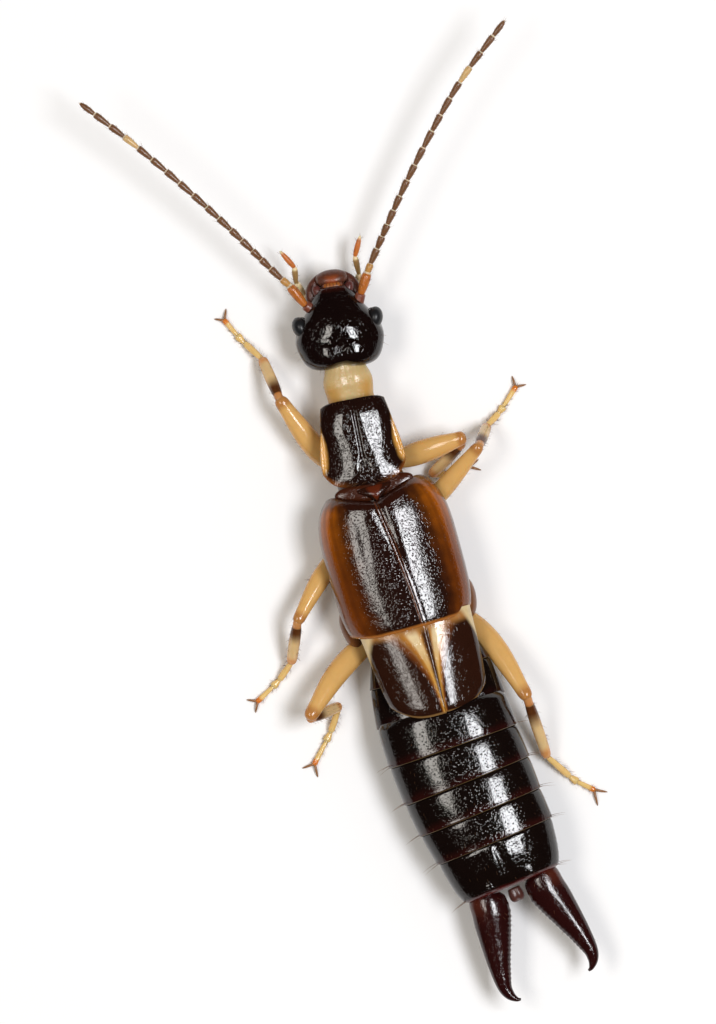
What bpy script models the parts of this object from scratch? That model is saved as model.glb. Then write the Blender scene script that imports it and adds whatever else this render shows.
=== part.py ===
"""An adult earwig with folded wings, standing, at life size.

The head points toward -Y, the animal's left side toward +X, and its feet stand on z = 0.
Sizes below are in millimetres. A piece is brought to metres as its mesh is made.
"""

import math

import bmesh
import bpy
from mathutils import Matrix, Vector

MM = 0.001

# Driving sizes. The gap is the space that neighbouring pieces keep, and the least limb is half the
# thickness of the thinnest stretch of a leg or feeler.
GAP = 0.10
LEAST_LIMB = 0.25
BODY_SIDES = 24
LIMB_SIDES = 10
# How squared a cross-section of the trunk is: 2 is an ellipse.
BODY_SQUARE = 2.3

# Where each region of the body is centred on the floor plan, and how far it turns to the left.
# The animal lies in a gentle arc: the head looks to its right and the tail swings the same way.
HEAD_AT = (0.65, -5.67)
HEAD_TURN = 7.5
PRONOTUM_AT = (0.95, -2.33)
PRONOTUM_TURN = 4.5
THORAX_AT = (0.90, 0.92)
THORAX_TURN = 0.0
TAIL_AT = (0.10, 10.18)
TAIL_TURN = -7.5

HEAD_HALF_WIDTH = 1.17
HEAD_TOP = 2.10
PRONOTUM_HALF_WIDTH = 1.12
PRONOTUM_TOP = 2.22
TEGMEN_HALF_WIDTH = 1.80
TEGMEN_TOP = 2.60
TEGMEN_EDGE = 1.45
WING_TIP_HALF_WIDTH = 1.50
WING_TIP_TOP = 2.52
PLATE = 0.50
FORCEPS_HALF_WIDTH = 0.50

# The boundaries between the abdomen's segments, front to rear:
# x, y, turn in degrees, half width, underside and top.
ABDOMEN_RINGS = (
    (0.80, 2.98, 0.0, 1.30, 0.98, 1.78),
    (0.79, 4.05, -0.6, 1.66, 0.62, 1.84),
    (0.77, 5.09, -1.2, 1.775, 0.52, 2.42),
    (0.71, 6.07, -4.1, 1.795, 0.50, 2.45),
    (0.60, 7.05, -6.6, 1.78, 0.52, 2.45),
    (0.48, 7.94, -7.0, 1.725, 0.56, 2.42),
    (0.31, 8.78, -7.5, 1.645, 0.62, 2.34),
    (0.18, 10.03, -7.0, 1.30, 0.78, 2.05),
)
# The first two segments lie under the folded wings, so their tops stay low.
UNDER_WINGS = 2
UNDER_WINGS_TOP = 1.86

# Heights of the foot's middles at its two inner joints and its toe. They are lower than the foot is
# thick, so that the floor cuts a small flat under each joint.
FOOT_HEIGHTS = (0.17, 0.14, 0.12)

# Each leg's joints: the coxa's root, the hip, the middle of the femur, the knee and the ankle, then
# in plan the two joints inside the foot, the toe and the claws' tips, and half the femur's width.
# A folded leg's tibia starts aside from the knee, by the fold.
LEGS = {
    "front_left": {
        "root": (1.35, -1.62, 0.56),
        "hip": (1.74, -1.86, 0.60),
        "thigh": (2.22, -2.76, 0.98),
        "knee": (2.68, -4.02, 1.36),
        "ankle": (2.85, -5.20, 0.42),
        "foot": ((3.20, -5.76), (3.32, -5.98), (3.56, -6.50)),
        "claws": ((3.80, -6.58), (3.42, -6.76)),
        "femur": 0.31,
    },
    "front_right": {
        "root": (0.78, -1.62, 0.56),
        "hip": (0.36, -1.64, 0.60),
        "thigh": (-0.76, -1.70, 1.04),
        "knee": (-1.74, -1.76, 1.32),
        "fold": (0.10, 0.24, -0.26),
        "ankle": (-0.66, -1.04, 0.38),
        "foot": ((-1.18, -0.90), (-1.36, -0.91), (-1.72, -0.98)),
        "claws": ((-1.99, -1.10), (-1.98, -0.80)),
        "femur": 0.32,
    },
    "middle_left": {
        "root": (1.45, 0.10, 0.56),
        "hip": (1.95, 0.16, 0.60),
        "thigh": (2.86, 0.78, 1.00),
        "knee": (3.80, 1.76, 1.36),
        "ankle": (4.26, 2.78, 0.42),
        "foot": ((4.70, 3.15), (4.90, 3.27), (5.44, 3.56)),
        "claws": ((5.68, 3.42), (5.54, 3.82)),
        "femur": 0.27,
    },
    "middle_right": {
        "root": (0.45, 0.05, 0.56),
        "hip": (0.04, -0.02, 0.60),
        "thigh": (-0.96, -0.66, 1.28),
        "knee": (-2.06, -1.42, 1.86),
        "ankle": (-2.42, -1.88, 0.46),
        "foot": ((-2.84, -2.15), (-2.99, -2.27), (-3.48, -2.72)),
        "claws": ((-3.44, -3.00), (-3.74, -2.68)),
        "femur": 0.27,
    },
    "hind_left": {
        "root": (1.35, 2.42, 0.56),
        "hip": (1.84, 2.66, 0.60),
        "thigh": (3.05, 3.28, 1.22),
        "knee": (4.16, 4.28, 1.74),
        "fold": (0.05, 0.10, -0.30),
        "ankle": (3.34, 4.24, 0.42),
        "foot": ((3.76, 4.86), (3.92, 5.04), (4.42, 5.58)),
        "claws": ((4.74, 5.58), (4.40, 5.92)),
        "femur": 0.32,
    },
    "hind_right": {
        "root": (0.20, 2.30, 0.56),
        "hip": (-0.34, 2.52, 0.58),
        "thigh": (-1.05, 3.76, 1.10),
        "knee": (-1.52, 5.30, 1.60),
        "ankle": (-1.62, 7.00, 0.46),
        "foot": ((-2.08, 7.70), (-2.22, 7.87), (-2.62, 8.22)),
        "claws": ((-2.93, 8.36), (-2.58, 8.64)),
        "femur": 0.31,
    },
}

# Colours as seen on the animal: red, green, blue, roughness.
FINISHES = {
    "head_shell": (0.018, 0.007, 0.005, 0.25),
    "mouth_shell": (0.20, 0.045, 0.015, 0.30),
    "eye_shell": (0.030, 0.028, 0.030, 0.35),
    "neck_skin": (0.72, 0.52, 0.26, 0.40),
    "back_shell": (0.030, 0.008, 0.004, 0.25),
    "wing_case": (0.075, 0.018, 0.006, 0.28),
    "wing_fold": (0.22, 0.11, 0.040, 0.30),
    "abdomen_shell": (0.020, 0.008, 0.006, 0.25),
    "forceps_shell": (0.055, 0.008, 0.008, 0.25),
    "leg_shell": (0.62, 0.33, 0.085, 0.30),
    "feeler_shell": (0.17, 0.085, 0.040, 0.40),
}


def clear_scene():
    for item in list(bpy.data.objects):
        bpy.data.objects.remove(item, do_unlink=True)


def finish_of(name):
    material = bpy.data.materials.get(name)
    if material is None:
        red, green, blue, roughness = FINISHES[name]
        material = bpy.data.materials.new(name)
        material.use_nodes = True
        shader = material.node_tree.nodes["Principled BSDF"]
        shader.inputs["Base Color"].default_value = (red, green, blue, 1.0)
        shader.inputs["Roughness"].default_value = roughness
        shader.inputs["Metallic"].default_value = 0.0
        material.diffuse_color = (red, green, blue, 1.0)
    return material


def piece_from(name, bm, finish):
    """One named object from a closed mesh in millimetres."""
    bmesh.ops.recalc_face_normals(bm, faces=bm.faces[:])
    bmesh.ops.scale(bm, vec=(MM, MM, MM), verts=bm.verts[:])
    mesh = bpy.data.meshes.new(name)
    bm.to_mesh(mesh)
    bm.free()
    mesh.materials.append(finish_of(finish))
    mesh.shade_smooth()
    mesh.set_sharp_from_angle(angle=math.radians(40))
    piece = bpy.data.objects.new(name, mesh)
    bpy.context.scene.collection.objects.link(piece)
    return piece


def cut_away(piece, cutter):
    """Takes the cutter's space out of a piece, and then drops the cutter."""
    boolean = piece.modifiers.new("cut", "BOOLEAN")
    boolean.operation = "DIFFERENCE"
    boolean.object = cutter
    settle(piece)
    bpy.data.objects.remove(cutter, do_unlink=True)


def join_in(piece, extra):
    """Fuses a second closed body with a piece, so that the node stays one body."""
    boolean = piece.modifiers.new("join", "BOOLEAN")
    boolean.operation = "UNION"
    boolean.object = extra
    settle(piece)
    bpy.data.objects.remove(extra, do_unlink=True)


def settle(piece):
    """Applies a piece's modifiers to its mesh."""
    bpy.context.view_layer.update()
    graph = bpy.context.evaluated_depsgraph_get()
    mesh = bpy.data.meshes.new_from_object(piece.evaluated_get(graph))
    piece.modifiers.clear()
    piece.data = mesh


def region(at, turn):
    """Local axes of a body region: x to the animal's right, y up, z forward."""
    angle = math.radians(turn)
    right = Vector((-math.cos(angle), math.sin(angle), 0.0))
    forward = Vector((-math.sin(angle), -math.cos(angle), 0.0))
    axes = Matrix((right, Vector((0.0, 0.0, 1.0)), forward)).transposed()
    return Matrix.Translation((at[0], at[1], 0.0)) @ axes.to_4x4()


def add_ring(bm, place, half_width, rise, drop, square, sides):
    """A cross-section: a squared ellipse with its own height above and below its widest line."""
    verts = bmesh.ops.create_circle(bm, cap_ends=False, radius=1.0, segments=sides)["verts"]
    for vert in verts:
        across = math.copysign(abs(vert.co.x) ** (2.0 / square), vert.co.x)
        up = math.copysign(abs(vert.co.y) ** (2.0 / square), vert.co.y)
        height = rise if up > 0.0 else drop
        vert.co = place @ Vector((half_width * across, height * up, 0.0))
    bm.edges.ensure_lookup_table()
    return bm.edges[-sides:]


def skin_over(bm, loops):
    """Bridges neighbouring rings and closes both ends."""
    for near, far in zip(loops, loops[1:]):
        bmesh.ops.bridge_loops(bm, edges=near + far)
    for end in (loops[0], loops[-1]):
        bmesh.ops.contextual_create(bm, geom=end)


def body_form(name, axes, stations, finish, sides=BODY_SIDES, square=BODY_SQUARE):
    """A piece of the trunk. A station is: forward, half width, underside, widest line, top, aside."""
    bm = bmesh.new()
    loops = []
    for forward, half_width, low, waist, top, aside in stations:
        place = axes @ Matrix.Translation((aside, waist, forward))
        loops.append(add_ring(bm, place, half_width, top - waist, waist - low, square, sides))
    skin_over(bm, loops)
    return piece_from(name, bm, finish)


def limb_form(name, rings, finish, sides=LIMB_SIDES, floor=False, starts=None, ends=None):
    """A limb along a path. A ring is: centre, half width, half height. Feet stop at the floor.

    starts and ends are the directions that its two end faces look along, so that two pieces of a
    limb meet face to face at a bend.
    """
    bm = bmesh.new()
    loops = []
    last = len(rings) - 1
    for index, (centre, half_width, half_height) in enumerate(rings):
        before = Vector(rings[max(index - 1, 0)][0])
        after = Vector(rings[min(index + 1, last)][0])
        along = (after - before).normalized()
        if index == 0 and starts is not None:
            along = starts
        if index == last and ends is not None:
            along = ends
        aside = along.cross(Vector((0.0, 0.0, 1.0))).normalized()
        up = aside.cross(along)
        axes = Matrix((aside, up, along)).transposed().to_4x4()
        place = Matrix.Translation(centre) @ axes
        loops.append(add_ring(bm, place, half_width, half_height, half_height, 2.0, sides))
    skin_over(bm, loops)
    if floor:
        for vert in bm.verts:
            vert.co.z = max(vert.co.z, 0.0)
    return piece_from(name, bm, finish)


def ball_form(name, axes, centre, radii, finish, segments=16):
    """A rounded body, such as an eye. The centre and the radii are: aside, up, forward."""
    bm = bmesh.new()
    bmesh.ops.create_uvsphere(bm, u_segments=segments, v_segments=segments // 2, radius=1.0)
    bmesh.ops.scale(bm, vec=radii, verts=bm.verts[:])
    bmesh.ops.translate(bm, vec=centre, verts=bm.verts[:])
    bmesh.ops.transform(bm, matrix=axes, verts=bm.verts[:])
    return piece_from(name, bm, finish)


def plate_form(name, surface, columns, rows, thickness, finish):
    """A curved plate. surface(across, along) gives its upper face, both numbers from 0 to 1."""
    bm = bmesh.new()
    bmesh.ops.create_grid(bm, x_segments=columns, y_segments=rows, size=0.5)
    for vert in bm.verts:
        vert.co = surface(vert.co.x + 0.5, vert.co.y + 0.5)
    piece = piece_from(name, bm, finish)
    if piece.data.polygons[len(piece.data.polygons) // 2].normal.z < 0.0:
        piece.data.flip_normals()
    wall = piece.modifiers.new("thickness", "SOLIDIFY")
    wall.thickness = thickness * MM
    wall.offset = -1.0
    wall.use_even_offset = True
    settle(piece)
    return piece


def smooth_point(points, position):
    """A point on a smooth curve through the given points, position from 0 to 1."""
    spans = len(points) - 1
    index = min(int(position * spans), spans - 1)
    t = position * spans - index
    p1 = Vector(points[index])
    p2 = Vector(points[index + 1])
    p0 = Vector(points[index - 1]) if index > 0 else p1 * 2.0 - p2
    p3 = Vector(points[index + 2]) if index + 2 <= spans else p2 * 2.0 - p1
    bent = (p0 * 2.0 - p1 * 5.0 + p2 * 4.0 - p3) * t * t
    cubed = (p1 * 3.0 - p0 - p2 * 3.0 + p3) * t * t * t
    return (p1 * 2.0 + (p2 - p0) * t + bent + cubed) * 0.5


def rounded(fraction, power):
    """A squared quarter ellipse: 1 at the middle, 0 at the end."""
    return max(0.0, 1.0 - abs(fraction) ** power) ** (1.0 / power)


def make_head():
    axes = region(HEAD_AT, HEAD_TURN)
    wide = HEAD_HALF_WIDTH
    top = HEAD_TOP
    stations = (
        (-1.33, wide * 0.42, 1.12, 1.40, top - 0.36, 0.0),
        (-1.28, wide * 0.64, 1.00, 1.40, top - 0.24, 0.0),
        (-1.10, wide * 0.87, 0.88, 1.40, top - 0.10, 0.0),
        (-0.72, wide * 0.985, 0.80, 1.40, top - 0.01, 0.0),
        (-0.33, wide, 0.78, 1.40, top, 0.0),
        (0.00, wide * 0.93, 0.78, 1.40, top - 0.03, 0.0),
        (0.26, wide * 0.74, 0.80, 1.38, top - 0.12, 0.0),
        (0.52, wide * 0.52, 0.86, 1.36, top - 0.26, 0.0),
        (0.74, wide * 0.38, 0.92, 1.34, top - 0.42, 0.0),
    )
    capsule = body_form("head_capsule", axes, stations, "head_shell", square=2.2)
    for side, word in ((-1, "left"), (1, "right")):
        centre = (side * 0.99, 1.46, -0.06)
        radii = (0.22, 0.28, 0.26)
        socket = ball_form("socket", axes, centre, [size + GAP for size in radii], "head_shell")
        cut_away(capsule, socket)
        ball_form(f"eye_{word}", axes, centre, radii, "eye_shell")


def make_mouth():
    axes = region(HEAD_AT, HEAD_TURN)
    stations = (
        (0.74 + GAP, 0.40, 1.22, 1.36, 1.66, 0.0),
        (1.02, 0.43, 1.20, 1.32, 1.58, 0.0),
        (1.22, 0.37, 1.20, 1.30, 1.48, 0.0),
        (1.32, 0.20, 1.23, 1.30, 1.40, 0.0),
    )
    body_form("labrum", axes, stations, "mouth_shell", sides=16)
    stations = (
        (0.10, 0.30, 0.50, 0.60, 0.68, 0.0),
        (0.60, 0.38, 0.48, 0.60, 0.68, 0.0),
        (0.98, 0.30, 0.50, 0.62, 0.74, 0.0),
        (1.10, 0.14, 0.54, 0.62, 0.70, 0.0),
    )
    labium = body_form("labium", axes, stations, "mouth_shell", sides=16)
    for side in (-1, 1):
        lip_palp = (
            ((side * 0.18, 0.60, 0.86), 0.11, 0.09),
            ((side * 0.27, 0.60, 1.16), 0.12, 0.10),
            ((side * 0.30, 0.64, 1.36), 0.09, 0.08),
            ((side * 0.24, 0.68, 1.52), 0.04, 0.04),
        )
        rings = [(axes @ Vector(at), width, height) for at, width, height in lip_palp]
        join_in(labium, limb_form("lip_palp", rings, "mouth_shell", sides=8))
    for side, word in ((-1, "left"), (1, "right")):
        mandible = (
            ((side * 0.40, 1.02, 0.84), 0.20, 0.13),
            ((side * 0.42, 1.00, 1.00), 0.20, 0.12),
            ((side * 0.30, 0.98, 1.18), 0.14, 0.10),
            ((side * 0.13, 0.97, 1.27), 0.06, 0.06),
        )
        rings = [(axes @ Vector(at), width, height) for at, width, height in mandible]
        limb_form(f"mandible_{word}", rings, "mouth_shell")


# Each palp's joints in the head's axes: aside, up, forward.
PALPS = {
    "left": (
        (-0.56, 0.52, 0.50),
        (-0.78, 0.62, 0.81),
        (-0.95, 0.86, 1.12),
        (-0.93, 1.06, 1.53),
        (-1.23, 1.20, 1.96),
    ),
    "right": (
        (0.56, 0.52, 0.50),
        (0.68, 0.62, 0.78),
        (0.74, 0.86, 1.13),
        (0.70, 1.06, 1.60),
        (0.90, 1.22, 2.07),
    ),
}
PALP_HALF = 0.17
PALP_TIP_HALF = 0.08


def make_palps():
    """Each palp is thickest in the middle of a joint and narrows where two joints meet."""
    axes = region(HEAD_AT, HEAD_TURN)
    for word, joints in PALPS.items():
        rings = []
        for joint, following in zip(joints, joints[1:]):
            for part, share in ((0.0, 0.72), (0.6, 1.0)):
                centre = axes @ Vector(joint).lerp(Vector(following), part)
                rings.append((centre, PALP_HALF * share, PALP_HALF * share))
        rings.append((axes @ Vector(joints[-1]), PALP_TIP_HALF, PALP_TIP_HALF))
        limb_form(f"palp_{word}", rings, "mouth_shell", sides=8)


# Each feeler's course: the socket, the ends of the first two joints, points along the lash, the tip.
FEELERS = {
    "left": (
        (1.36, -6.24, 1.62),
        (1.64, -6.88, 1.72),
        (1.79, -7.09, 1.75),
        (3.06, -9.24, 2.02),
        (4.42, -11.30, 2.26),
        (5.69, -12.99, 2.42),
    ),
    "right": (
        (-0.13, -6.14, 1.62),
        (-0.46, -6.66, 1.72),
        (-0.60, -6.86, 1.75),
        (-2.16, -8.76, 2.02),
        (-3.98, -10.68, 2.26),
        (-5.73, -12.09, 2.42),
    ),
}
LASH_JOINTS = 16
LASH_HALF = 0.25
LASH_TIP_HALF = 0.19


def make_feelers():
    for word, course in FEELERS.items():
        socket, scape_end, pedicel_end = (Vector(point) for point in course[:3])
        rings = [(socket, 0.22, 0.22)]
        rings.append((socket.lerp(scape_end, 0.30), LEAST_LIMB, LEAST_LIMB))
        rings.append((socket.lerp(scape_end, 0.86), LEAST_LIMB, LEAST_LIMB))
        rings.append((scape_end, 0.20, 0.20))
        rings.append((scape_end.lerp(pedicel_end, 0.45), 0.23, 0.23))
        rings.append((pedicel_end, 0.20, 0.20))
        limb_form(f"antenna_{word}_base", rings, "feeler_shell", sides=8)
        lash = (pedicel_end, *course[3:])
        start = GAP / (Vector(course[-1]) - pedicel_end).length
        rings = []
        for joint in range(LASH_JOINTS):
            for part, share in ((0.0, 0.72), (0.55, 1.0), (0.88, 0.92)):
                along = start + (1.0 - start) * (joint + part) / LASH_JOINTS
                half = LASH_HALF + (LASH_TIP_HALF - LASH_HALF) * along
                rings.append((smooth_point(lash, along), half * share, half * share))
        rings.append((smooth_point(lash, 1.0), 0.08, 0.08))
        limb_form(f"antenna_{word}_lash", rings, "feeler_shell", sides=8)


def make_neck():
    axes = region(PRONOTUM_AT, PRONOTUM_TURN)
    stations = (
        (1.08 + GAP, 0.50, 0.96, 1.30, 1.58, 0.0),
        (1.34, 0.64, 0.90, 1.30, 1.66, 0.01),
        (1.56, 0.60, 0.94, 1.30, 1.62, 0.02),
        (1.76, 0.64, 0.92, 1.32, 1.64, 0.03),
        (1.94, 0.52, 1.00, 1.34, 1.58, 0.04),
    )
    body_form("neck", axes, stations, "neck_skin", square=2.0)


def make_pronotum():
    axes = region(PRONOTUM_AT, PRONOTUM_TURN)
    wide = PRONOTUM_HALF_WIDTH
    top = PRONOTUM_TOP
    stations = (
        (1.20, wide * 0.74, 1.74, 1.80, top - 0.14, 0.0),
        (1.10, wide * 0.80, 1.71, 1.80, top - 0.07, 0.0),
        (0.65, wide * 0.87, 1.70, 1.80, top, 0.0),
        (0.15, wide * 0.95, 1.70, 1.78, top, 0.0),
        (-0.40, wide, 1.70, 1.76, top, 0.0),
        (-0.75, wide * 0.95, 1.70, 1.76, top, 0.0),
        (-0.97, wide * 0.66, 1.71, 1.78, top - 0.03, 0.0),
        (-1.07, wide * 0.32, 1.73, 1.80, top - 0.08, 0.0),
    )
    body_form("pronotum", axes, stations, "back_shell")
    stations = (
        (1.08, 0.52, 0.94, 1.25, 1.56, 0.0),
        (0.85, 0.66, 0.84, 1.25, 1.60, 0.0),
        (0.20, 0.74, 0.80, 1.25, 1.60, 0.0),
        (-0.60, 0.74, 0.80, 1.25, 1.60, 0.0),
        (-0.92, 0.68, 0.84, 1.25, 1.60, 0.0),
    )
    body_form("prothorax", axes, stations, "head_shell")


def make_thorax():
    axes = region(THORAX_AT, THORAX_TURN)
    stations = (
        (2.00, 0.86, 0.86, 1.30, 1.74, 0.0),
        (1.60, 1.10, 0.80, 1.30, 1.92, 0.0),
        (0.40, 1.20, 0.80, 1.30, 1.98, 0.0),
        (-1.00, 1.20, 0.80, 1.30, 1.96, 0.0),
        (-1.98, 1.10, 0.86, 1.30, 1.84, 0.0),
    )
    body_form("thorax", axes, stations, "head_shell")
    stations = (
        (2.04, 0.56, 1.90, 2.00, 2.20, 0.0),
        (1.93, 0.36, 2.04, 2.10, 2.24, 0.0),
        (1.80, 0.17, 2.06, 2.12, 2.24, 0.0),
    )
    body_form("scutellum", axes, stations, "back_shell", sides=12)


def suture_aside(forward):
    """Where the wing cases meet: the left one laps over the right, so the line runs to the right."""
    back = (1.65 - forward) / 3.45
    return -0.10 + 0.62 * back - 0.25 * back * back


def tegmen_half_width(forward):
    reach = 2.12 if forward > 0.2 else 2.50
    power = 3.2 if forward > 0.2 else 4.0
    return TEGMEN_HALF_WIDTH * rounded((forward - 0.2) / reach, power)


def tegmen_surface(side):
    axes = region(THORAX_AT, THORAX_TURN)

    def surface(across, along):
        spread = math.sin(across * math.pi / 2.0)
        front = 1.64 + 0.50 * spread
        hind = -1.80 + 0.16 * spread ** 6
        forward = front + (hind - front) * along
        outer = side * tegmen_half_width(forward)
        inner = suture_aside(forward) + side * GAP / 2.0
        aside = inner + (outer - inner) * spread
        top = TEGMEN_TOP - 0.22 * max(0.0, (forward - 0.9) / 1.2) ** 2
        rise = (top - TEGMEN_EDGE) * rounded(min(1.0, abs(aside / outer)), 2.6)
        return axes @ Vector((aside, TEGMEN_EDGE + rise, forward))

    return surface


def wing_tip_surface(side):
    axes = region(THORAX_AT, THORAX_TURN)

    def surface(across, along):
        spread = math.sin(across * math.pi / 2.0)
        front = -1.80 - GAP - 0.02
        hind = -4.02 + 0.50 * spread ** 4
        forward = front + (hind - front) * along
        back = (front - forward) / 2.2
        middle = 0.10 + 0.09 * back
        outer = middle + side * (WING_TIP_HALF_WIDTH - 0.16 * back - 0.14 * back ** 4)
        inner = 0.27 - 0.06 * back + side * GAP / 2.0
        aside = inner + (outer - inner) * spread
        height = WING_TIP_TOP - 0.04 * back - 0.36 * abs((aside - middle) / WING_TIP_HALF_WIDTH) ** 2.4
        return axes @ Vector((aside, height, forward))

    return surface


def make_wings():
    for side, word in ((-1, "left"), (1, "right")):
        plate_form(f"tegmen_{word}", tegmen_surface(side), 8, 10, PLATE, "wing_case")
        plate_form(f"wing_tip_{word}", wing_tip_surface(side), 6, 7, PLATE * 0.9, "wing_fold")


# Along a segment from front to rear: the share of its length, and how far its surface is tucked in.
SEGMENT_TUCKS = ((0.0, 0.07), (0.12, 0.0), (0.55, -0.02), (0.9, -0.01), (1.0, 0.03))
LAST_SEGMENT_TUCKS = (
    (0.0, 0.07),
    (0.12, 0.0),
    (0.35, -0.05),
    (0.62, -0.09),
    (0.85, -0.08),
    (0.96, -0.02),
    (1.0, 0.06),
)


def make_abdomen():
    """Each segment is a band that opens toward the tail, and the next one comes out from under it."""
    for index, (front, rear) in enumerate(zip(ABDOMEN_RINGS, ABDOMEN_RINGS[1:])):
        covered = index < UNDER_WINGS
        last = index == len(ABDOMEN_RINGS) - 2
        bm = bmesh.new()
        loops = []
        steps = LAST_SEGMENT_TUCKS if last else SEGMENT_TUCKS
        length = math.dist(front[:2], rear[:2])
        for share, tuck in steps:
            inset = GAP / 2.0 / length
            t = inset + (1.0 - 2.0 * inset) * share
            x, y, turn, half_width, low, top = (a + (b - a) * t for a, b in zip(front, rear))
            if covered:
                top = UNDER_WINGS_TOP + 0.02 * share
            waist = low + 0.46 * (top - low)
            place = region((x, y), turn) @ Matrix.Translation((0.0, waist, 0.0))
            rise = top - tuck - waist
            drop = waist - low - tuck
            loops.append(add_ring(bm, place, half_width - tuck, rise, drop, BODY_SQUARE, BODY_SIDES))
        skin_over(bm, loops)
        name = "abdomen_last" if last else f"abdomen_{index + 1}"
        piece_from(name, bm, "abdomen_shell")


# An arm of the forceps from root to tip: its middle aside, back along the tail and up, the share
# of its full half width, and its half height.
FORCEPS_COURSE = (
    (0.78, 0.02, 1.34, 1.00, 0.38),
    (0.80, -0.25, 1.34, 1.02, 0.38),
    (0.89, -0.60, 1.33, 0.96, 0.35),
    (1.03, -1.15, 1.31, 0.78, 0.29),
    (1.16, -1.70, 1.30, 0.58, 0.23),
    (1.24, -2.20, 1.30, 0.40, 0.17),
    (1.20, -2.48, 1.31, 0.28, 0.12),
    (1.08, -2.66, 1.32, 0.14, 0.07),
    (0.97, -2.71, 1.33, 0.06, 0.03),
)
FORCEPS_TEETH = 12
FORCEPS_TOOTH = 0.035
# The stretch of the arm that bears teeth, as stations of the course.
FORCEPS_TOOTHED = (0.7, 4.6)
# How far the two arms' common middle lies to the left of the last segment's own.
FORCEPS_ASIDE = -0.06


def arm_station(station):
    """Sizes of the arm anywhere along its course, station 0 being the root."""
    index = min(int(station), len(FORCEPS_COURSE) - 2)
    near = FORCEPS_COURSE[index]
    far = FORCEPS_COURSE[index + 1]
    return [a + (b - a) * (station - index) for a, b in zip(near, far)]


def arm_stations():
    """Each station with how far its inner edge stands out: up at a tooth, down between two."""
    stations = [(0.0, 0.0), (0.35, 0.0)]
    first, last = FORCEPS_TOOTHED
    for step in range(2 * FORCEPS_TEETH + 1):
        tooth = FORCEPS_TOOTH if step % 2 else 0.0
        stations.append((first + (last - first) * step / (2 * FORCEPS_TEETH), tooth))
    stations.extend((station, 0.0) for station in (5.0, 6.0, 7.0, 8.0))
    return stations


def make_forceps():
    """Two curved arms with a toothed inner edge, and the pygidium between their roots."""
    axes = region(TAIL_AT, TAIL_TURN)
    for side, word in ((-1, "left"), (1, "right")):
        rings = []
        for station, tooth in arm_stations():
            aside, forward, up, share, half_height = arm_station(station)
            inward = side * (aside - tooth / 2.0) + FORCEPS_ASIDE
            half_width = FORCEPS_HALF_WIDTH * share + tooth / 2.0
            rings.append((axes @ Vector((inward, up, forward)), half_width, half_height))
        limb_form(f"forceps_{word}", rings, "forceps_shell", sides=12)
    stations = (
        (0.00, 0.17, 1.08, 1.24, 1.40, FORCEPS_ASIDE),
        (-0.12, 0.19, 1.06, 1.24, 1.42, FORCEPS_ASIDE),
        (-0.27, 0.12, 1.12, 1.24, 1.36, FORCEPS_ASIDE),
    )
    body_form("pygidium", axes, stations, "forceps_shell", sides=12)


def bend_between(first, second):
    """The direction half way round a bend."""
    return (first.normalized() + second.normalized()).normalized()


def make_coxa(word, root, hip, facing):
    rings = (
        (root, 0.26, 0.16),
        (root.lerp(hip, 0.45), 0.30, 0.18),
        (hip - facing * (0.08 + GAP), 0.25, 0.17),
        (hip - facing * GAP, 0.21, 0.16),
    )
    limb_form(f"coxa_{word}", rings, "leg_shell", ends=facing)


# Along a femur from hip to knee: the share of its length, and the share of its full width.
FEMUR_SWELL = (
    (0.0, 0.66),
    (0.10, 0.82),
    (0.30, 1.0),
    (0.55, 0.98),
    (0.80, 0.84),
    (0.94, 0.70),
    (1.0, 0.54),
)
# The same along a tibia from knee to ankle.
TIBIA_SWELL = ((0.0, 0.66), (0.18, 0.92), (0.5, 1.0), (0.84, 1.0), (1.0, 0.72))


def make_femur(word, course, half_width, facing, knee_facing):
    rings = []
    for t, share in FEMUR_SWELL:
        half = max(half_width * share, 0.16)
        rings.append((smooth_point(course, t), half, half * 0.94))
    limb_form(f"femur_{word}", rings, "leg_shell", starts=facing, ends=knee_facing)


def make_tibia(word, top, ankle, knee_facing, ankle_facing):
    rings = []
    for t, share in TIBIA_SWELL:
        rings.append((top.lerp(ankle, t), LEAST_LIMB * share, LEAST_LIMB * share))
    limb_form(f"tibia_{word}", rings, "leg_shell", starts=knee_facing, ends=ankle_facing)


def make_tarsus(word, heel, joints, claws, ankle_facing):
    """Three foot joints, long, short and long, flat where they stand, with two spread claws."""
    first, second, toe = joints
    rings = (
        (heel, 0.17, 0.17),
        (heel.lerp(first, 0.3), 0.20, 0.20),
        (heel.lerp(first, 0.9), 0.21, 0.21),
        (first, 0.16, 0.17),
        (first.lerp(second, 0.7), 0.20, 0.20),
        (second, 0.16, 0.17),
        (second.lerp(toe, 0.2), 0.19, 0.20),
        (second.lerp(toe, 0.85), 0.19, 0.20),
        (toe, 0.13, 0.15),
    )
    tarsus = limb_form(f"tarsus_{word}", rings, "leg_shell", floor=True, starts=ankle_facing)
    start = second.lerp(toe, 0.88) - Vector((0.0, 0.0, 0.05))
    for x, y in claws:
        tip = Vector((x, y, 0.05))
        arch = start.lerp(tip, 0.6) + Vector((0.0, 0.0, 0.03))
        rings = ((start, 0.08, 0.08), (arch, 0.07, 0.07), (tip, 0.03, 0.03))
        join_in(tarsus, limb_form("claw", rings, "leg_shell", sides=6, floor=True))


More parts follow.
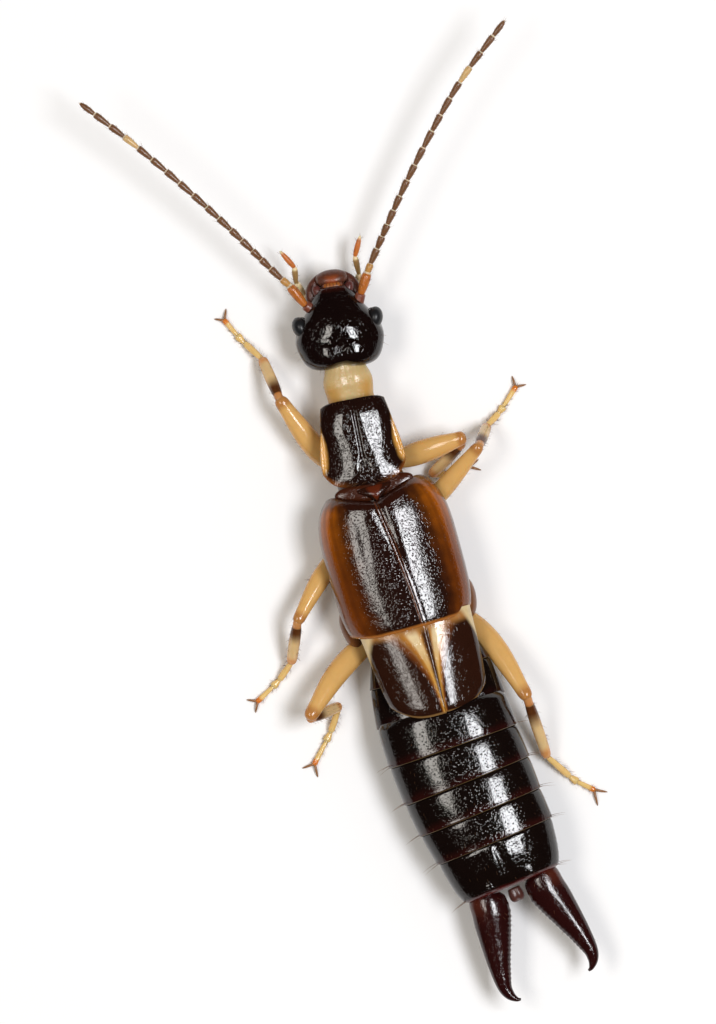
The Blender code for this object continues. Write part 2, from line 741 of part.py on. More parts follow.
def make_leg(word, leg):
    keys = ("root", "hip", "thigh", "knee", "ankle")
    root, hip, thigh, knee, ankle = (Vector(leg[key]) for key in keys)
    joints = [Vector((x, y, z)) for (x, y), z in zip(leg["foot"], FOOT_HEIGHTS)]
    facing = (thigh - hip).normalized()
    knee_facing = bend_between(knee - thigh, ankle - knee)
    ankle_facing = bend_between(ankle - knee, joints[0] - ankle)
    top = knee + knee_facing * GAP + Vector(leg.get("fold", (0.0, 0.0, 0.0)))
    heel = ankle + ankle_facing * GAP
    make_coxa(word, root, hip, facing)
    make_femur(word, (hip, thigh, knee), leg["femur"], facing, knee_facing)
    make_tibia(word, top, ankle, knee_facing, ankle_facing)
    make_tarsus(word, heel, joints, leg["claws"], ankle_facing)


def make_earwig():
    clear_scene()
    make_head()
    make_mouth()
    make_palps()
    make_feelers()
    make_neck()
    make_pronotum()
    make_thorax()
    make_wings()
    make_abdomen()
    make_forceps()
    for word, leg in LEGS.items():
        make_leg(word, leg)


make_earwig()
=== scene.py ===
# %% [markdown]
# # A winged earwig, life size
# The animal is about 20 mm long without its feelers, so everything here is thought of in
# millimetres and brought to metres at the last step of each piece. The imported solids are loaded
# first. They fix where each part of the body is, and every piece made below takes the place of one
# or more of them.

# %% Load the frame
import bisect
import math
import random

import bmesh
import bpy
from mathutils import Matrix, Vector


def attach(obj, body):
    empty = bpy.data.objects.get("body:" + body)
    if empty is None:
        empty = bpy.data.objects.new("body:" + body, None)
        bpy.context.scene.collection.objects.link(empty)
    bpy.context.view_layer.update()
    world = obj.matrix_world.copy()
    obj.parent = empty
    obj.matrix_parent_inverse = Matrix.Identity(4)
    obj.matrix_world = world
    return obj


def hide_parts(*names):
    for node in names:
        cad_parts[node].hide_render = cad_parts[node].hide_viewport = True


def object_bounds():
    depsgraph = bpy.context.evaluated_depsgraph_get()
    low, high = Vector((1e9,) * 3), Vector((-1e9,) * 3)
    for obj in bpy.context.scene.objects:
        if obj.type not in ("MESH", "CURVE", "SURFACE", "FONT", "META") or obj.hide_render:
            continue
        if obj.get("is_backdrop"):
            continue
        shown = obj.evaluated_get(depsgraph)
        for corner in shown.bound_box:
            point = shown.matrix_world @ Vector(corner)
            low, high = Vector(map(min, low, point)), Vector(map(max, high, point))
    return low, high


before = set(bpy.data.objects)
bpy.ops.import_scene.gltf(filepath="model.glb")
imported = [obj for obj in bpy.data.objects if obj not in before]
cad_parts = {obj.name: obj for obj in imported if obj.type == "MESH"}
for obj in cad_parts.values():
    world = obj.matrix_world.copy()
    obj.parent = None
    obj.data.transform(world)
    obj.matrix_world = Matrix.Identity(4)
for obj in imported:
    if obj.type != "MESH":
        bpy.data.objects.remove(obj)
cad_low, cad_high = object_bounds()
MM = 0.001
print("solids:", len(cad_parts), "box in mm:", [round(v / MM, 1) for v in cad_high - cad_low])

# %% [markdown]
# ## Camera
# The photograph looks straight down, and the body's length leans 15.5 degrees in the picture. A
# long lens from 0.3 m keeps the raised back and the feet at nearly one scale, as a macro lens does.
# The lens follows from how many millimetres of floor plan the picture's long side covers.

# %% Camera
LEAN = math.radians(15.5)
VIEW_CENTRE = Vector((1.4825, -0.6036, 1.5)) * MM
VIEW_LENGTH = 27.136 * MM
CAMERA_DISTANCE = 298.5 * MM
SENSOR = 36.0

image_right = Vector((-math.cos(LEAN), math.sin(LEAN), 0.0))
image_up = Vector((-math.sin(LEAN), -math.cos(LEAN), 0.0))
straight_up = Vector((0.0, 0.0, 1.0))

camera_data = bpy.data.cameras.new("camera")
camera_data.sensor_width = SENSOR
camera_data.lens = SENSOR * CAMERA_DISTANCE / VIEW_LENGTH
camera_data.clip_start = 0.01
camera_data.clip_end = 10.0
camera = bpy.data.objects.new("camera", camera_data)
turned = Matrix((image_right, image_up, straight_up)).transposed().to_4x4()
camera.matrix_world = Matrix.Translation(VIEW_CENTRE + straight_up * CAMERA_DISTANCE) @ turned
bpy.context.scene.collection.objects.link(camera)
bpy.context.scene.camera = camera
bpy.context.scene.view_settings.view_transform = "Standard"
print("lens in mm:", round(camera_data.lens, 1))

# %% [markdown]
# ## Floor and light
# The animal stands on a plain white sheet under two soft lamps, one each side of the lens. The one
# at the picture's right is the stronger: it makes the bright broken strips down the back and pushes
# a soft shadow to the left. The lamps could be left to the world's light, but glossy black shell
# shows whatever is above it, so the room is kept dim in reflections and only fills the shadows.

# %% Floor and light
FLOOR_SIZE = 1.2
LAMP_DISTANCE = 0.22
SHADOW_FILL = 0.28
FILL_IN_REFLECTIONS = 0.02


def lamp(name, lean, power, width, length, tint):
    """A soft lamp that leans from straight above toward the picture's right, by degrees."""
    data = bpy.data.lights.new(name, "AREA")
    data.color = tint
    data.shape = "RECTANGLE"
    data.size = width
    data.size_y = length
    data.energy = power
    angle = math.radians(lean)
    away = straight_up * math.cos(angle) + image_right * math.sin(angle)
    across = image_up.cross(away).normalized()
    axes = Matrix((across, away.cross(across), away)).transposed().to_4x4()
    light = bpy.data.objects.new(name, data)
    light.matrix_world = Matrix.Translation(VIEW_CENTRE + away * LAMP_DISTANCE) @ axes
    bpy.context.scene.collection.objects.link(light)


lamp("lamp_right", lean=20.0, power=0.325, width=0.054, length=0.086, tint=(0.99, 1.0, 1.03))
lamp("lamp_left", lean=-22.0, power=0.125, width=0.052, length=0.090, tint=(1.0, 0.955, 0.89))

world = bpy.data.worlds.new("studio")
bpy.context.scene.world = world
world.use_nodes = True
sky = world.node_tree
sky.nodes.clear()


def room(colour, strength):
    """One colour of light from all round."""
    background = sky.nodes.new("ShaderNodeBackground")
    background.inputs["Color"].default_value = (*colour, 1.0)
    background.inputs["Strength"].default_value = strength
    return background.outputs[0]


path = sky.nodes.new("ShaderNodeLightPath")
fill = room((1.0, 0.93, 0.84), SHADOW_FILL)
seen = room((0.93, 0.93, 0.92), 1.0)
dim = room((1.0, 1.0, 1.0), FILL_IN_REFLECTIONS)
glossy_mix = sky.nodes.new("ShaderNodeMixShader")
camera_mix = sky.nodes.new("ShaderNodeMixShader")
sky_out = sky.nodes.new("ShaderNodeOutputWorld")
sky.links.new(path.outputs["Is Glossy Ray"], glossy_mix.inputs["Fac"])
sky.links.new(fill, glossy_mix.inputs[1])
sky.links.new(dim, glossy_mix.inputs[2])
sky.links.new(path.outputs["Is Camera Ray"], camera_mix.inputs["Fac"])
sky.links.new(glossy_mix.outputs[0], camera_mix.inputs[1])
sky.links.new(seen, camera_mix.inputs[2])
sky.links.new(camera_mix.outputs[0], sky_out.inputs["Surface"])

floor_form = bmesh.new()
bmesh.ops.create_grid(floor_form, x_segments=1, y_segments=1, size=FLOOR_SIZE / 2.0)
floor_mesh = bpy.data.meshes.new("floor")
floor_form.to_mesh(floor_mesh)
floor_form.free()
floor = bpy.data.objects.new("floor", floor_mesh)
bpy.context.scene.collection.objects.link(floor)
floor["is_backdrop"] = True
paper = bpy.data.materials.new("floor_paper")
paper.use_nodes = True
paper_shader = paper.node_tree.nodes["Principled BSDF"]
paper_shader.inputs["Base Color"].default_value = (0.94, 0.945, 0.955, 1.0)
paper_shader.inputs["Roughness"].default_value = 0.9
paper_shader.inputs["Specular IOR Level"].default_value = 0.1
floor_mesh.materials.append(paper)

# %% [markdown]
# ## From a mesh to a piece
# Each piece of the animal is a bmesh in millimetres. Before it becomes an object, a layer named
# place is filled in: it says where on its own piece a point lies, so that a material can put a band
# of colour across a shin or along a wing's edge whichever way the limb points. A helper merges
# doubles, turns the faces outward, scales to metres and hands the piece to the frame.

# %% Helpers for every piece
PLACE = "place"
SIDES = ((-1, "left"), (1, "right"))
MERGE_DISTANCE = 0.00001


def new_form():
    """An empty mesh in millimetres with the place layer ready."""
    bm = bmesh.new()
    bm.verts.layers.float_vector.new(PLACE)
    return bm


def finish_piece(name, bm, material, replaced=(), levels=0, wall=0.0):
    """Makes the object: a wall gives an open plate its thickness, levels round it off."""
    bmesh.ops.remove_doubles(bm, verts=bm.verts[:], dist=MERGE_DISTANCE)
    bmesh.ops.recalc_face_normals(bm, faces=bm.faces[:])
    if wall and sum(face.normal.z for face in bm.faces) < 0.0:
        bmesh.ops.reverse_faces(bm, faces=bm.faces[:])
    bmesh.ops.scale(bm, vec=(MM, MM, MM), verts=bm.verts[:])
    mesh = bpy.data.meshes.new(name)
    bm.to_mesh(mesh)
    bm.free()
    mesh.shade_smooth()
    mesh.materials.append(material)
    piece = bpy.data.objects.new(name, mesh)
    bpy.context.scene.collection.objects.link(piece)
    if wall:
        thickness = piece.modifiers.new("wall", "SOLIDIFY")
        thickness.thickness = wall * MM
        thickness.offset = -1.0
        thickness.use_even_offset = True
    if levels:
        smoother = piece.modifiers.new("smooth", "SUBSURF")
        smoother.levels = levels
        smoother.render_levels = levels
    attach(piece, "root")
    if replaced:
        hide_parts(*replaced)
    print(name, len(mesh.vertices), "points")


# %% [markdown]
# ## Regions of the body
# The earwig doesn't lie straight: the head looks to its right and the tail swings the same way.
# Each region has its own axes, with x to the animal's right, y up and z forward, so that a head or
# a forceps arm can be shaped as if it were straight and then set in place by one transform.

# %% Region axes
HEAD_AT = (0.65, -5.67)
HEAD_TURN = 7.5
PRONOTUM_AT = (0.95, -2.33)
PRONOTUM_TURN = 4.5
THORAX_AT = (0.90, 0.92)
THORAX_TURN = 0.0
TAIL_AT = (0.10, 10.18)
TAIL_TURN = -7.5


def region(at, turn):
    """Axes of a body region: x to the animal's right, y up, z forward."""
    angle = math.radians(turn)
    right = Vector((-math.cos(angle), math.sin(angle), 0.0))
    forward = Vector((-math.sin(angle), -math.cos(angle), 0.0))
    axes = Matrix((right, Vector((0.0, 0.0, 1.0)), forward)).transposed()
    return Matrix.Translation((at[0], at[1], 0.0)) @ axes.to_4x4()


head_axes = region(HEAD_AT, HEAD_TURN)
pronotum_axes = region(PRONOTUM_AT, PRONOTUM_TURN)
thorax_axes = region(THORAX_AT, THORAX_TURN)
tail_axes = region(TAIL_AT, TAIL_TURN)
print("head looks along", [round(v, 2) for v in head_axes.col[2][:2]])

# %% [markdown]
# ## Rings and lofts
# Most of an insect is a row of changing cross-sections: a head, a belly ring, a shin. Blender could
# screw or skin these, but a loft of circles is easiest to steer. Each ring starts as a circle, is
# pressed into a squared ellipse with its own height above and below the widest line, and
# neighbouring rings are bridged. The ring's own corner and its distance along go into place.

# %% Rings and lofts


def squared(value, square):
    """One coordinate of a circle pressed toward a rounded square; 2 leaves the circle."""
    return math.copysign(abs(value) ** (2.0 / square), value)


def add_ring(bm, matrix, sizes, along, sides, square, shape=None):
    """One cross-section. sizes are half width, rise above and drop below the widest line."""
    place = bm.verts.layers.float_vector[PLACE]
    made = bmesh.ops.create_circle(bm, cap_ends=False, radius=1.0, segments=sides)["verts"]
    half_width, rise, drop = sizes
    for vert in made:
        x = squared(vert.co.x, square)
        y = squared(vert.co.y, square)
        point = Vector((half_width * x, y * (rise if y > 0.0 else drop), 0.0))
        if shape is not None:
            point = shape(point, x, y, along)
        vert[place] = (x, y, along)
        vert.co = matrix @ point
    bm.edges.ensure_lookup_table()
    return bm.edges[-sides:]


def skin_over(bm, loops):
    """Bridges neighbouring rings and closes the two ends."""
    for near, far in zip(loops, loops[1:]):
        bmesh.ops.bridge_loops(bm, edges=near + far)
    for end in (loops[0], loops[-1]):
        bmesh.ops.contextual_create(bm, geom=end)


def loft(bm, stations, sides, square, shape=None):
    """Rings square to z. A station is: forward, half width, underside, widest line, top."""
    loops = []
    for forward, half_width, low, waist, top in stations:
        matrix = Matrix.Translation((0.0, waist, forward))
        sizes = (half_width, top - waist, waist - low)
        loops.append(add_ring(bm, matrix, sizes, forward, sides, square, shape))
    skin_over(bm, loops)


def set_in(bm, axes):
    """Sets a piece made in a region's axes in its place on the body."""
    bmesh.ops.transform(bm, matrix=axes, verts=bm.verts[:])


# %% [markdown]
# ## Limbs along a course
# Legs, feelers and palps bend, so their rings follow a course. A ring faces half way between the
# stretch before it and the stretch after it, which mitres each bend. A smooth curve through a few
# joints gives the points in between.

# %% Courses and limbs


def smooth_point(points, position):
    """A point on a smooth curve through the given points, position from 0 to 1."""
    spans = len(points) - 1
    index = min(int(position * spans), spans - 1)
    t = position * spans - index
    p1 = Vector(points[index])
    p2 = Vector(points[index + 1])
    p0 = Vector(points[index - 1]) if index > 0 else p1 * 2.0 - p2
    p3 = Vector(points[index + 2]) if index + 2 <= spans else p2 * 2.0 - p1
    bent = (p0 * 2.0 - p1 * 5.0 + p2 * 4.0 - p3) * t * t
    cubed = (p1 * 3.0 - p0 - p2 * 3.0 + p3) * t * t * t
    return (p1 * 2.0 + (p2 - p0) * t + bent + cubed) * 0.5


def smooth_value(values, position):
    """A number on a smooth curve through evenly spaced ones, position from 0 to 1."""
    return smooth_point([(value, 0.0, 0.0) for value in values], position).x


def ring_axes(centre, along):
    """Axes of a ring: x aside and level, y up, z along the limb."""
    along = along.normalized()
    aside = along.cross(straight_up).normalized()
    up = aside.cross(along)
    axes = Matrix((aside, up, along)).transposed().to_4x4()
    return Matrix.Translation(centre) @ axes


def limb(bm, rings, sides, square=2.0):
    """A closed limb. A ring is: centre, half width, half height, along."""
    loops = []
    last = len(rings) - 1
    for index, (centre, half_width, half_height, along) in enumerate(rings):
        before = Vector(rings[max(index - 1, 0)][0])
        after = Vector(rings[min(index + 1, last)][0])
        matrix = ring_axes(centre, after - before)
        sizes = (half_width, half_height, half_height)
        loops.append(add_ring(bm, matrix, sizes, along, sides, square))
    skin_over(bm, loops)


def blob(bm, centre, radii, turn, sides):
    """A rounded body in region axes; turn is about the upright axis, in degrees."""
    place = bm.verts.layers.float_vector[PLACE]
    ball = bmesh.ops.create_uvsphere(bm, u_segments=sides, v_segments=sides // 2, radius=1.0)
    made = ball["verts"]
    for vert in made:
        vert[place] = vert.co
    spot = Matrix.Translation(centre) @ Matrix.Rotation(math.radians(turn), 4, "Y")
    bmesh.ops.transform(bm, matrix=spot @ Matrix.Diagonal((*radii, 1.0)), verts=made)

# %% [markdown]
# ## Node helpers and shared effects
# Insect shell is one stuff with many finishes: near-black on the head, amber at a thin margin,
# cream where it is soft. The finishes differ in colour, but they share three effects. Fine relief
# is the net of wrinkles and pits that breaks a highlight into specks, flat between its creases.
# Tone drift is the slow change of depth that no real shell is without. Soft step turns a place on
# the piece into a mask with a slightly wandering edge. Each is a node group, built once and set by
# its own sockets.

# %% Node helpers


def add(tree, kind, inputs=None, **settings):
    """A node with its settings, and its inputs linked to sockets or set to values."""
    item = tree.nodes.new(kind)
    for key, value in settings.items():
        setattr(item, key, value)
    for key, value in (inputs or {}).items():
        if isinstance(value, bpy.types.NodeSocket):
            tree.links.new(value, item.inputs[key])
        else:
            item.inputs[key].default_value = value
    return item


def maths(tree, operation, first, second=0.0, third=0.0, clamp=False):
    values = {0: first, 1: second, 2: third}
    return add(tree, "ShaderNodeMath", values, operation=operation, use_clamp=clamp).outputs[0]


def scaled(tree, vector, factor):
    values = {0: vector, "Scale": factor}
    return add(tree, "ShaderNodeVectorMath", values, operation="SCALE").outputs[0]


def noise(tree, vector, **values):
    """Noise that swings between -1 and 1."""
    waves = add(tree, "ShaderNodeTexNoise", {"Vector": vector, **values})
    return maths(tree, "MULTIPLY_ADD", waves.outputs[0], 2.0, -1.0)


def eased(tree, value, low, high, start=0.0, end=1.0):
    """A smooth rise from start to end while the value goes from low to high."""
    values = {"Value": value, 1: low, 2: high, 3: start, 4: end}
    kind = "ShaderNodeMapRange"
    return add(tree, kind, values, interpolation_type="SMOOTHSTEP").outputs[0]


def new_group(name, inputs, outputs):
    group = bpy.data.node_groups.new(name, "ShaderNodeTree")
    for title, kind, value in inputs:
        socket = group.interface.new_socket(title, in_out="INPUT", socket_type=kind)
        if value is not None:
            socket.default_value = value
    for title, kind in outputs:
        group.interface.new_socket(title, in_out="OUTPUT", socket_type=kind)
    ins = group.nodes.new("NodeGroupInput").outputs
    outs = group.nodes.new("NodeGroupOutput").inputs
    return group, ins, outs


# %% Shared effects
FLOAT = "NodeSocketFloat"
VECTOR = "NodeSocketVector"
COLOUR = "NodeSocketColor"
PER_MM = 1.0 / MM

relief_group, ins, outs = new_group(
    "fine relief",
    (
        ("Vector", VECTOR, None),
        ("Wrinkles per mm", FLOAT, 10.0),
        ("Wrinkle height", FLOAT, 0.004),
        ("Pits per mm", FLOAT, 14.0),
        ("Pit depth", FLOAT, 0.004),
        ("Pit size", FLOAT, 0.35),
        ("Fineness", FLOAT, 3.0),
        ("Crease", FLOAT, 1.0),
    ),
    (("Height", FLOAT),),
)
spot = scaled(relief_group, ins["Vector"], PER_MM)
wave_sockets = {"Scale": ins["Wrinkles per mm"], "Detail": ins["Fineness"]}
waves = noise(relief_group, spot, Distortion=1.4, **wave_sockets)
creased = eased(relief_group, maths(relief_group, "ABSOLUTE", waves), 0.0, ins["Crease"])
wrinkle = maths(relief_group, "MULTIPLY", creased, ins["Wrinkle height"])
cell_sockets = {"Vector": spot, "Scale": ins["Pits per mm"], "Randomness": 0.9}
cells = add(relief_group, "ShaderNodeTexVoronoi", cell_sockets, feature="F1")
pit = eased(relief_group, cells.outputs["Distance"], 0.0, ins["Pit size"], -1.0, 0.0)
sunk = maths(relief_group, "MULTIPLY", pit, ins["Pit depth"])
relief_group.links.new(maths(relief_group, "ADD", wrinkle, sunk), outs["Height"])

drift_group, ins, outs = new_group(
    "tone drift",
    (
        ("Vector", VECTOR, None),
        ("Color", COLOUR, None),
        ("Patches per mm", FLOAT, 1.5),
        ("Amount", FLOAT, 0.25),
    ),
    (("Color", COLOUR),),
)
spot = scaled(drift_group, ins["Vector"], PER_MM)
swing = noise(drift_group, spot, Scale=ins["Patches per mm"], Detail=4.0, Roughness=0.6)
bright = maths(drift_group, "MULTIPLY_ADD", swing, ins["Amount"], 1.0)
drift_group.links.new(scaled(drift_group, ins["Color"], bright), outs["Color"])

step_group, ins, outs = new_group(
    "soft step",
    (
        ("Vector", VECTOR, None),
        ("Value", FLOAT, 0.0),
        ("Edge", FLOAT, 0.5),
        ("Softness", FLOAT, 0.05),
        ("Wander", FLOAT, 0.0),
    ),
    (("Mask", FLOAT),),
)
stray = noise(step_group, scaled(step_group, ins["Vector"], PER_MM), Scale=3.0, Detail=3.0)
moved = maths(step_group, "MULTIPLY_ADD", stray, ins["Wander"], ins["Value"])
low = maths(step_group, "SUBTRACT", ins["Edge"], ins["Softness"])
high = maths(step_group, "ADD", ins["Edge"], ins["Softness"])
step_group.links.new(eased(step_group, moved, low, high), outs["Mask"])
print("shared effects:", [group.name for group in bpy.data.node_groups])

# %% [markdown]
# ## A finish
# One small class holds a material while it is put together: its Object coordinates, its place
# attribute split in three, and the three effects as plain calls. The shader itself stays in the
# material, and values that are the same all over go on its own sockets.

# %% A finish


class Finish:
    """A material in the making. x, y and z are the place on the piece."""

    def __init__(self, name, roughness=0.25, **values):
        self.material = bpy.data.materials.new(name)
        self.material.use_nodes = True
        self.tree = self.material.node_tree
        self.shader = self.tree.nodes["Principled BSDF"]
        self.shader.inputs["Roughness"].default_value = roughness
        for title, value in values.items():
            self.shader.inputs[title.replace("_", " ")].default_value = value
        self.object_place = add(self.tree, "ShaderNodeTexCoord").outputs["Object"]
        attribute = add(self.tree, "ShaderNodeAttribute", attribute_name=PLACE)
        split = add(self.tree, "ShaderNodeSeparateXYZ", {0: attribute.outputs["Vector"]})
        self.x, self.y, self.z = split.outputs
        self.place = attribute.outputs["Vector"]

    def effect(self, group, **values):
        item = self.tree.nodes.new("ShaderNodeGroup")
        item.node_tree = group
        self.tree.links.new(self.object_place, item.inputs["Vector"])
        for title, value in values.items():
            socket = item.inputs[title.replace("_", " ")]
            if isinstance(value, bpy.types.NodeSocket):
                self.tree.links.new(value, socket)
            else:
                socket.default_value = value
        return item.outputs[0]

    def step(self, value, edge, softness=0.05, wander=0.0):
        return self.effect(step_group, Value=value, Edge=edge, Softness=softness, Wander=wander)

    def band(self, value, low, high, softness=0.05, wander=0.0):
        """1 between low and high."""
        inside = self.step(value, low, softness, wander)
        past = self.step(value, high, softness, wander)
        return maths(self.tree, "SUBTRACT", inside, past, clamp=True)

    def before(self, value, edge, softness=0.05, wander=0.0):
        """1 before the edge and 0 past it."""
        return self.maths("SUBTRACT", 1.0, self.step(value, edge, softness, wander))

    def maths(self, operation, first, second=0.0, third=0.0, clamp=False):
        return maths(self.tree, operation, first, second, third, clamp)

    def away(self):
        """How far from the middle line, on either side."""
        return self.maths("ABSOLUTE", self.x)

    def counted(self):
        """The number of a joint and the share of its length, which z holds together."""
        return self.maths("FLOOR", self.z), self.maths("FRACT", self.z)

    def same(self, number, wanted):
        return self.maths("COMPARE", number, float(wanted), 0.4)

    def mix(self, mask, low, high, share=1.0):
        """Colour low where the mask is 0 and, by the share, high where it is 1."""
        if share < 1.0:
            mask = self.maths("MULTIPLY", mask, share)
        values = {0: mask, 6: low, 7: high}
        return add(self.tree, "ShaderNodeMix", values, data_type="RGBA").outputs[2]

    def colour(self, colour, amount=0.2, patches=1.5):
        """Ends the colour: adds the drift and joins it to the shader."""
        toned = self.effect(drift_group, Color=colour, Amount=amount, Patches_per_mm=patches)
        self.tree.links.new(toned, self.shader.inputs["Base Color"])

    def relief(self, wrinkles, height, pits, depth, size=0.35, fineness=3.0, crease=1.0):
        """Ends the surface. Heights are in millimetres, and a small crease is a narrow one."""
        raised = self.effect(
            relief_group,
            Wrinkles_per_mm=wrinkles,
            Wrinkle_height=height,
            Pits_per_mm=pits,
            Pit_depth=depth,
            Pit_size=size,
            Fineness=fineness,
            Crease=crease,
        )
        bump = add(self.tree, "ShaderNodeBump", {"Height": raised, "Distance": MM})
        self.tree.links.new(bump.outputs[0], self.shader.inputs["Normal"])


def soft(weight, spread):
    """How much light goes under the surface, and how far in millimetres."""
    return {"Subsurface_Weight": weight, "Subsurface_Scale": spread * MM}


def rgb(red, green, blue):
    """A colour as the eye reads it, each from 0 to 255, in the light values that a shader needs."""
    parts = []
    for value in (red, green, blue):
        share = value / 255.0
        parts.append(share / 12.92 if share <= 0.04045 else ((share + 0.055) / 1.055) ** 2.4)
    return (*parts, 1.0)

# %% [markdown]
# ## Head and mouth finishes
# The head is the blackest part, polished, with a warm brown depth at its front edge where the shell
# thins. The mouth's plates are red-brown and let a little light through. The eyes are dark grey and
# only half glossy, because each is a field of tiny lenses, with painted shade in the crevices
# between them.

# %% Head and mouth finishes
BLACK_BROWN = rgb(16, 6, 5)
DEEP_RED = rgb(58, 19, 11)
MOUTH_BROWN = rgb(84, 44, 32)
ORANGE = rgb(138, 64, 22)
CREAM = rgb(206, 186, 140)

look = Finish("head_polish", 0.05, Specular_IOR_Level=0.55)
front = look.step(look.z, 0.80, 0.11, 0.04)
look.colour(look.mix(front, BLACK_BROWN, DEEP_RED), 0.35, 2.0)
look.relief(5.0, 0.0016, 18.0, 0.0, 0.3, 1.0, 0.13)
head_finish = look.material

look = Finish("mouth_plates", 0.28, **soft(0.15, 0.3))
tip = look.step(look.z, 0.9, 0.25, 0.08)
look.colour(look.mix(tip, MOUTH_BROWN, DEEP_RED), 0.3, 5.0)
look.relief(22.0, 0.004, 30.0, 0.002)
mouth_finish = look.material

look = Finish("labrum_dome", 0.3, **soft(0.2, 0.3))
outward = look.step(look.away(), 0.34, 0.28, 0.12)
lip = look.step(look.z, 0.56, 0.2, 0.1)
outward = look.maths("MAXIMUM", outward, lip)
look.colour(look.mix(outward, ORANGE, rgb(86, 48, 34)), 0.25, 6.0)
look.relief(26.0, 0.004, 34.0, 0.002)
labrum_finish = look.material

look = Finish("eye_lenses", 0.34, Specular_IOR_Level=0.4)
to_place = {0: look.place}
height = add(look.tree, "ShaderNodeVectorMath", to_place, operation="LENGTH").outputs[1]
# painted shade: the crevices between the lens domes are darker than the lens middles
lens = look.step(height, 0.93, 0.05)
look.colour(look.mix(lens, rgb(24, 24, 26), rgb(66, 66, 70)), 0.25, 6.0)
look.relief(30.0, 0.0004, 40.0, 0.0004)
eye_finish = look.material

look = Finish("feeler_socket", 0.3, **soft(0.25, 0.3))
look.colour(rgb(116, 62, 44), 0.3, 8.0)
look.relief(20.0, 0.006, 20.0, 0.0)
socket_finish = look.material

# %% [markdown]
# ## Feeler and palp finishes
# Each feeler joint carries its number in the third part of place, with its own length as the part
# after the point. That lets one finish tell the orange first joint, the cream rings, the brown
# joints and the single pale one apart, without a material for each.

# %% Feeler and palp finishes
PALE_JOINT = 14
FEELER_BROWN = rgb(112, 76, 48)

look = Finish("feeler_joints", 0.2, **soft(0.15, 0.2))
number, along_joint = look.counted()
is_base = look.maths("LESS_THAN", number, 0.5)
is_second = look.same(number, 1)
is_pale = look.same(number, PALE_JOINT)
shade = look.mix(is_base, FEELER_BROWN, rgb(176, 102, 40))
shade = look.mix(is_second, shade, rgb(184, 136, 74))
shade = look.mix(is_pale, shade, rgb(200, 166, 112))
ring = look.step(along_joint, 0.94, 0.010)
shade = look.mix(ring, shade, rgb(214, 198, 170))
look.colour(shade, 0.16, 12.0)
look.relief(34.0, 0.003, 36.0, 0.002)
feeler_finish = look.material

look = Finish("palp_joints", 0.34, **soft(0.2, 0.2))
number, along_joint = look.counted()
is_last = look.maths("GREATER_THAN", number, 2.5)
is_middle = look.same(number, 2)
shade = look.mix(is_middle, CREAM, rgb(156, 124, 76))
shade = look.mix(is_last, shade, rgb(190, 108, 42))
pale_end = look.step(along_joint, 0.86, 0.07)
shade = look.mix(pale_end, shade, rgb(222, 204, 158))
look.colour(shade, 0.15, 9.0)
look.relief(30.0, 0.003, 30.0, 0.0)
palp_finish = look.material

# %% [markdown]
# ## Soft skin
# Between the plates the skin is soft and cream, and browner underneath.
# It has shallow folds across the body, so its relief is coarser and its gloss is broken.

# %% Soft skin
look = Finish("soft_skin", 0.24, **soft(0.25, 0.4))
below = look.step(look.maths("MULTIPLY", look.y, -1.0), 0.2, 0.5, 0.2)
shade = look.mix(below, rgb(198, 170, 118), rgb(166, 130, 80))
warm = look.band(look.z, 0.45, 0.95, 0.16, 0.06)
flank = look.step(look.away(), 0.42, 0.25, 0.1)
warm = look.maths("MULTIPLY", warm, flank)
shade = look.mix(warm, shade, rgb(184, 136, 60), 0.75)
behind = look.step(look.z, 1.04, 0.05)
shade = look.mix(behind, shade, rgb(58, 26, 13))
look.colour(shade, 0.12, 2.5)
look.relief(7.0, 0.012, 20.0, 0.0)
skin_finish = look.material

# %% [markdown]
# ## Back finishes
# The pronotum is black-brown with a clear amber margin that widens rearward. A wing case has a
# dark inner half, an amber outer band that swells near the shoulder, and a thin colourless rim
# that is painted grey with the reflection of the pale floor it catches at its steep edge.
# The folded wing tip is dark with a cream and gold fan along the middle line. Under the case's
# hind edge lies an amber border. The pattern follows the plate, so it reads place: x from the
# middle line to the outer edge and z from front to rear.

# %% Back finishes
CASE_DARK = rgb(30, 12, 7)
CLEAR_RIM_WITH_REFLECTION = rgb(104, 92, 76)

look = Finish("pronotum_shield", 0.08, Specular_IOR_Level=0.55)
widest = look.band(look.z, 0.42, 0.93, 0.20)
margin_edge = look.maths("MULTIPLY_ADD", widest, -0.16, 1.02)
past_margin = look.maths("SUBTRACT", look.away(), margin_edge)
margin = look.step(past_margin, 0.0, 0.055, 0.03)
shade = look.mix(margin, rgb(27, 11, 7), rgb(206, 150, 72))
hind = look.step(look.z, 0.95, 0.05, 0.02)
corner = look.step(look.away(), 0.55, 0.3, 0.05)
hind = look.maths("MULTIPLY", hind, corner)
shade = look.mix(hind, shade, rgb(140, 78, 28), 0.7)
look.colour(shade, 0.25, 2.5)
look.relief(5.5, 0.0014, 15.0, 0.0030, 0.40, 1.0, 0.14)
pronotum_finish = look.material

look = Finish("wing_case", 0.09, Specular_IOR_Level=0.55)
band = look.step(look.x, 0.50, 0.20, 0.10)
fading = look.step(look.x, 0.86, 0.12, 0.03)
shoulder = look.step(look.z, 0.30, 0.35)
amber_depth = look.mix(shoulder, rgb(172, 92, 12), rgb(112, 54, 9))
streak_place = look.maths("SINE", look.maths("MULTIPLY", look.x, 46.0))
streaks = look.step(streak_place, 0.2, 0.8, 0.8)
amber_depth = look.mix(streaks, amber_depth, rgb(72, 32, 12), 0.35)
shade = look.mix(band, CASE_DARK, amber_depth)
shade = look.mix(fading, shade, rgb(58, 32, 14), 0.8)
front = look.before(look.z, 0.07, 0.06, 0.04)
shade = look.mix(front, shade, rgb(46, 18, 9), 0.8)
# painted reflection: the thin colourless rim is painted grey, as the pale floor shows in it
rim = look.step(look.x, 0.955, 0.02)
shade = look.mix(rim, shade, CLEAR_RIM_WITH_REFLECTION)
bead = look.band(look.x, 0.014, 0.028, 0.008)
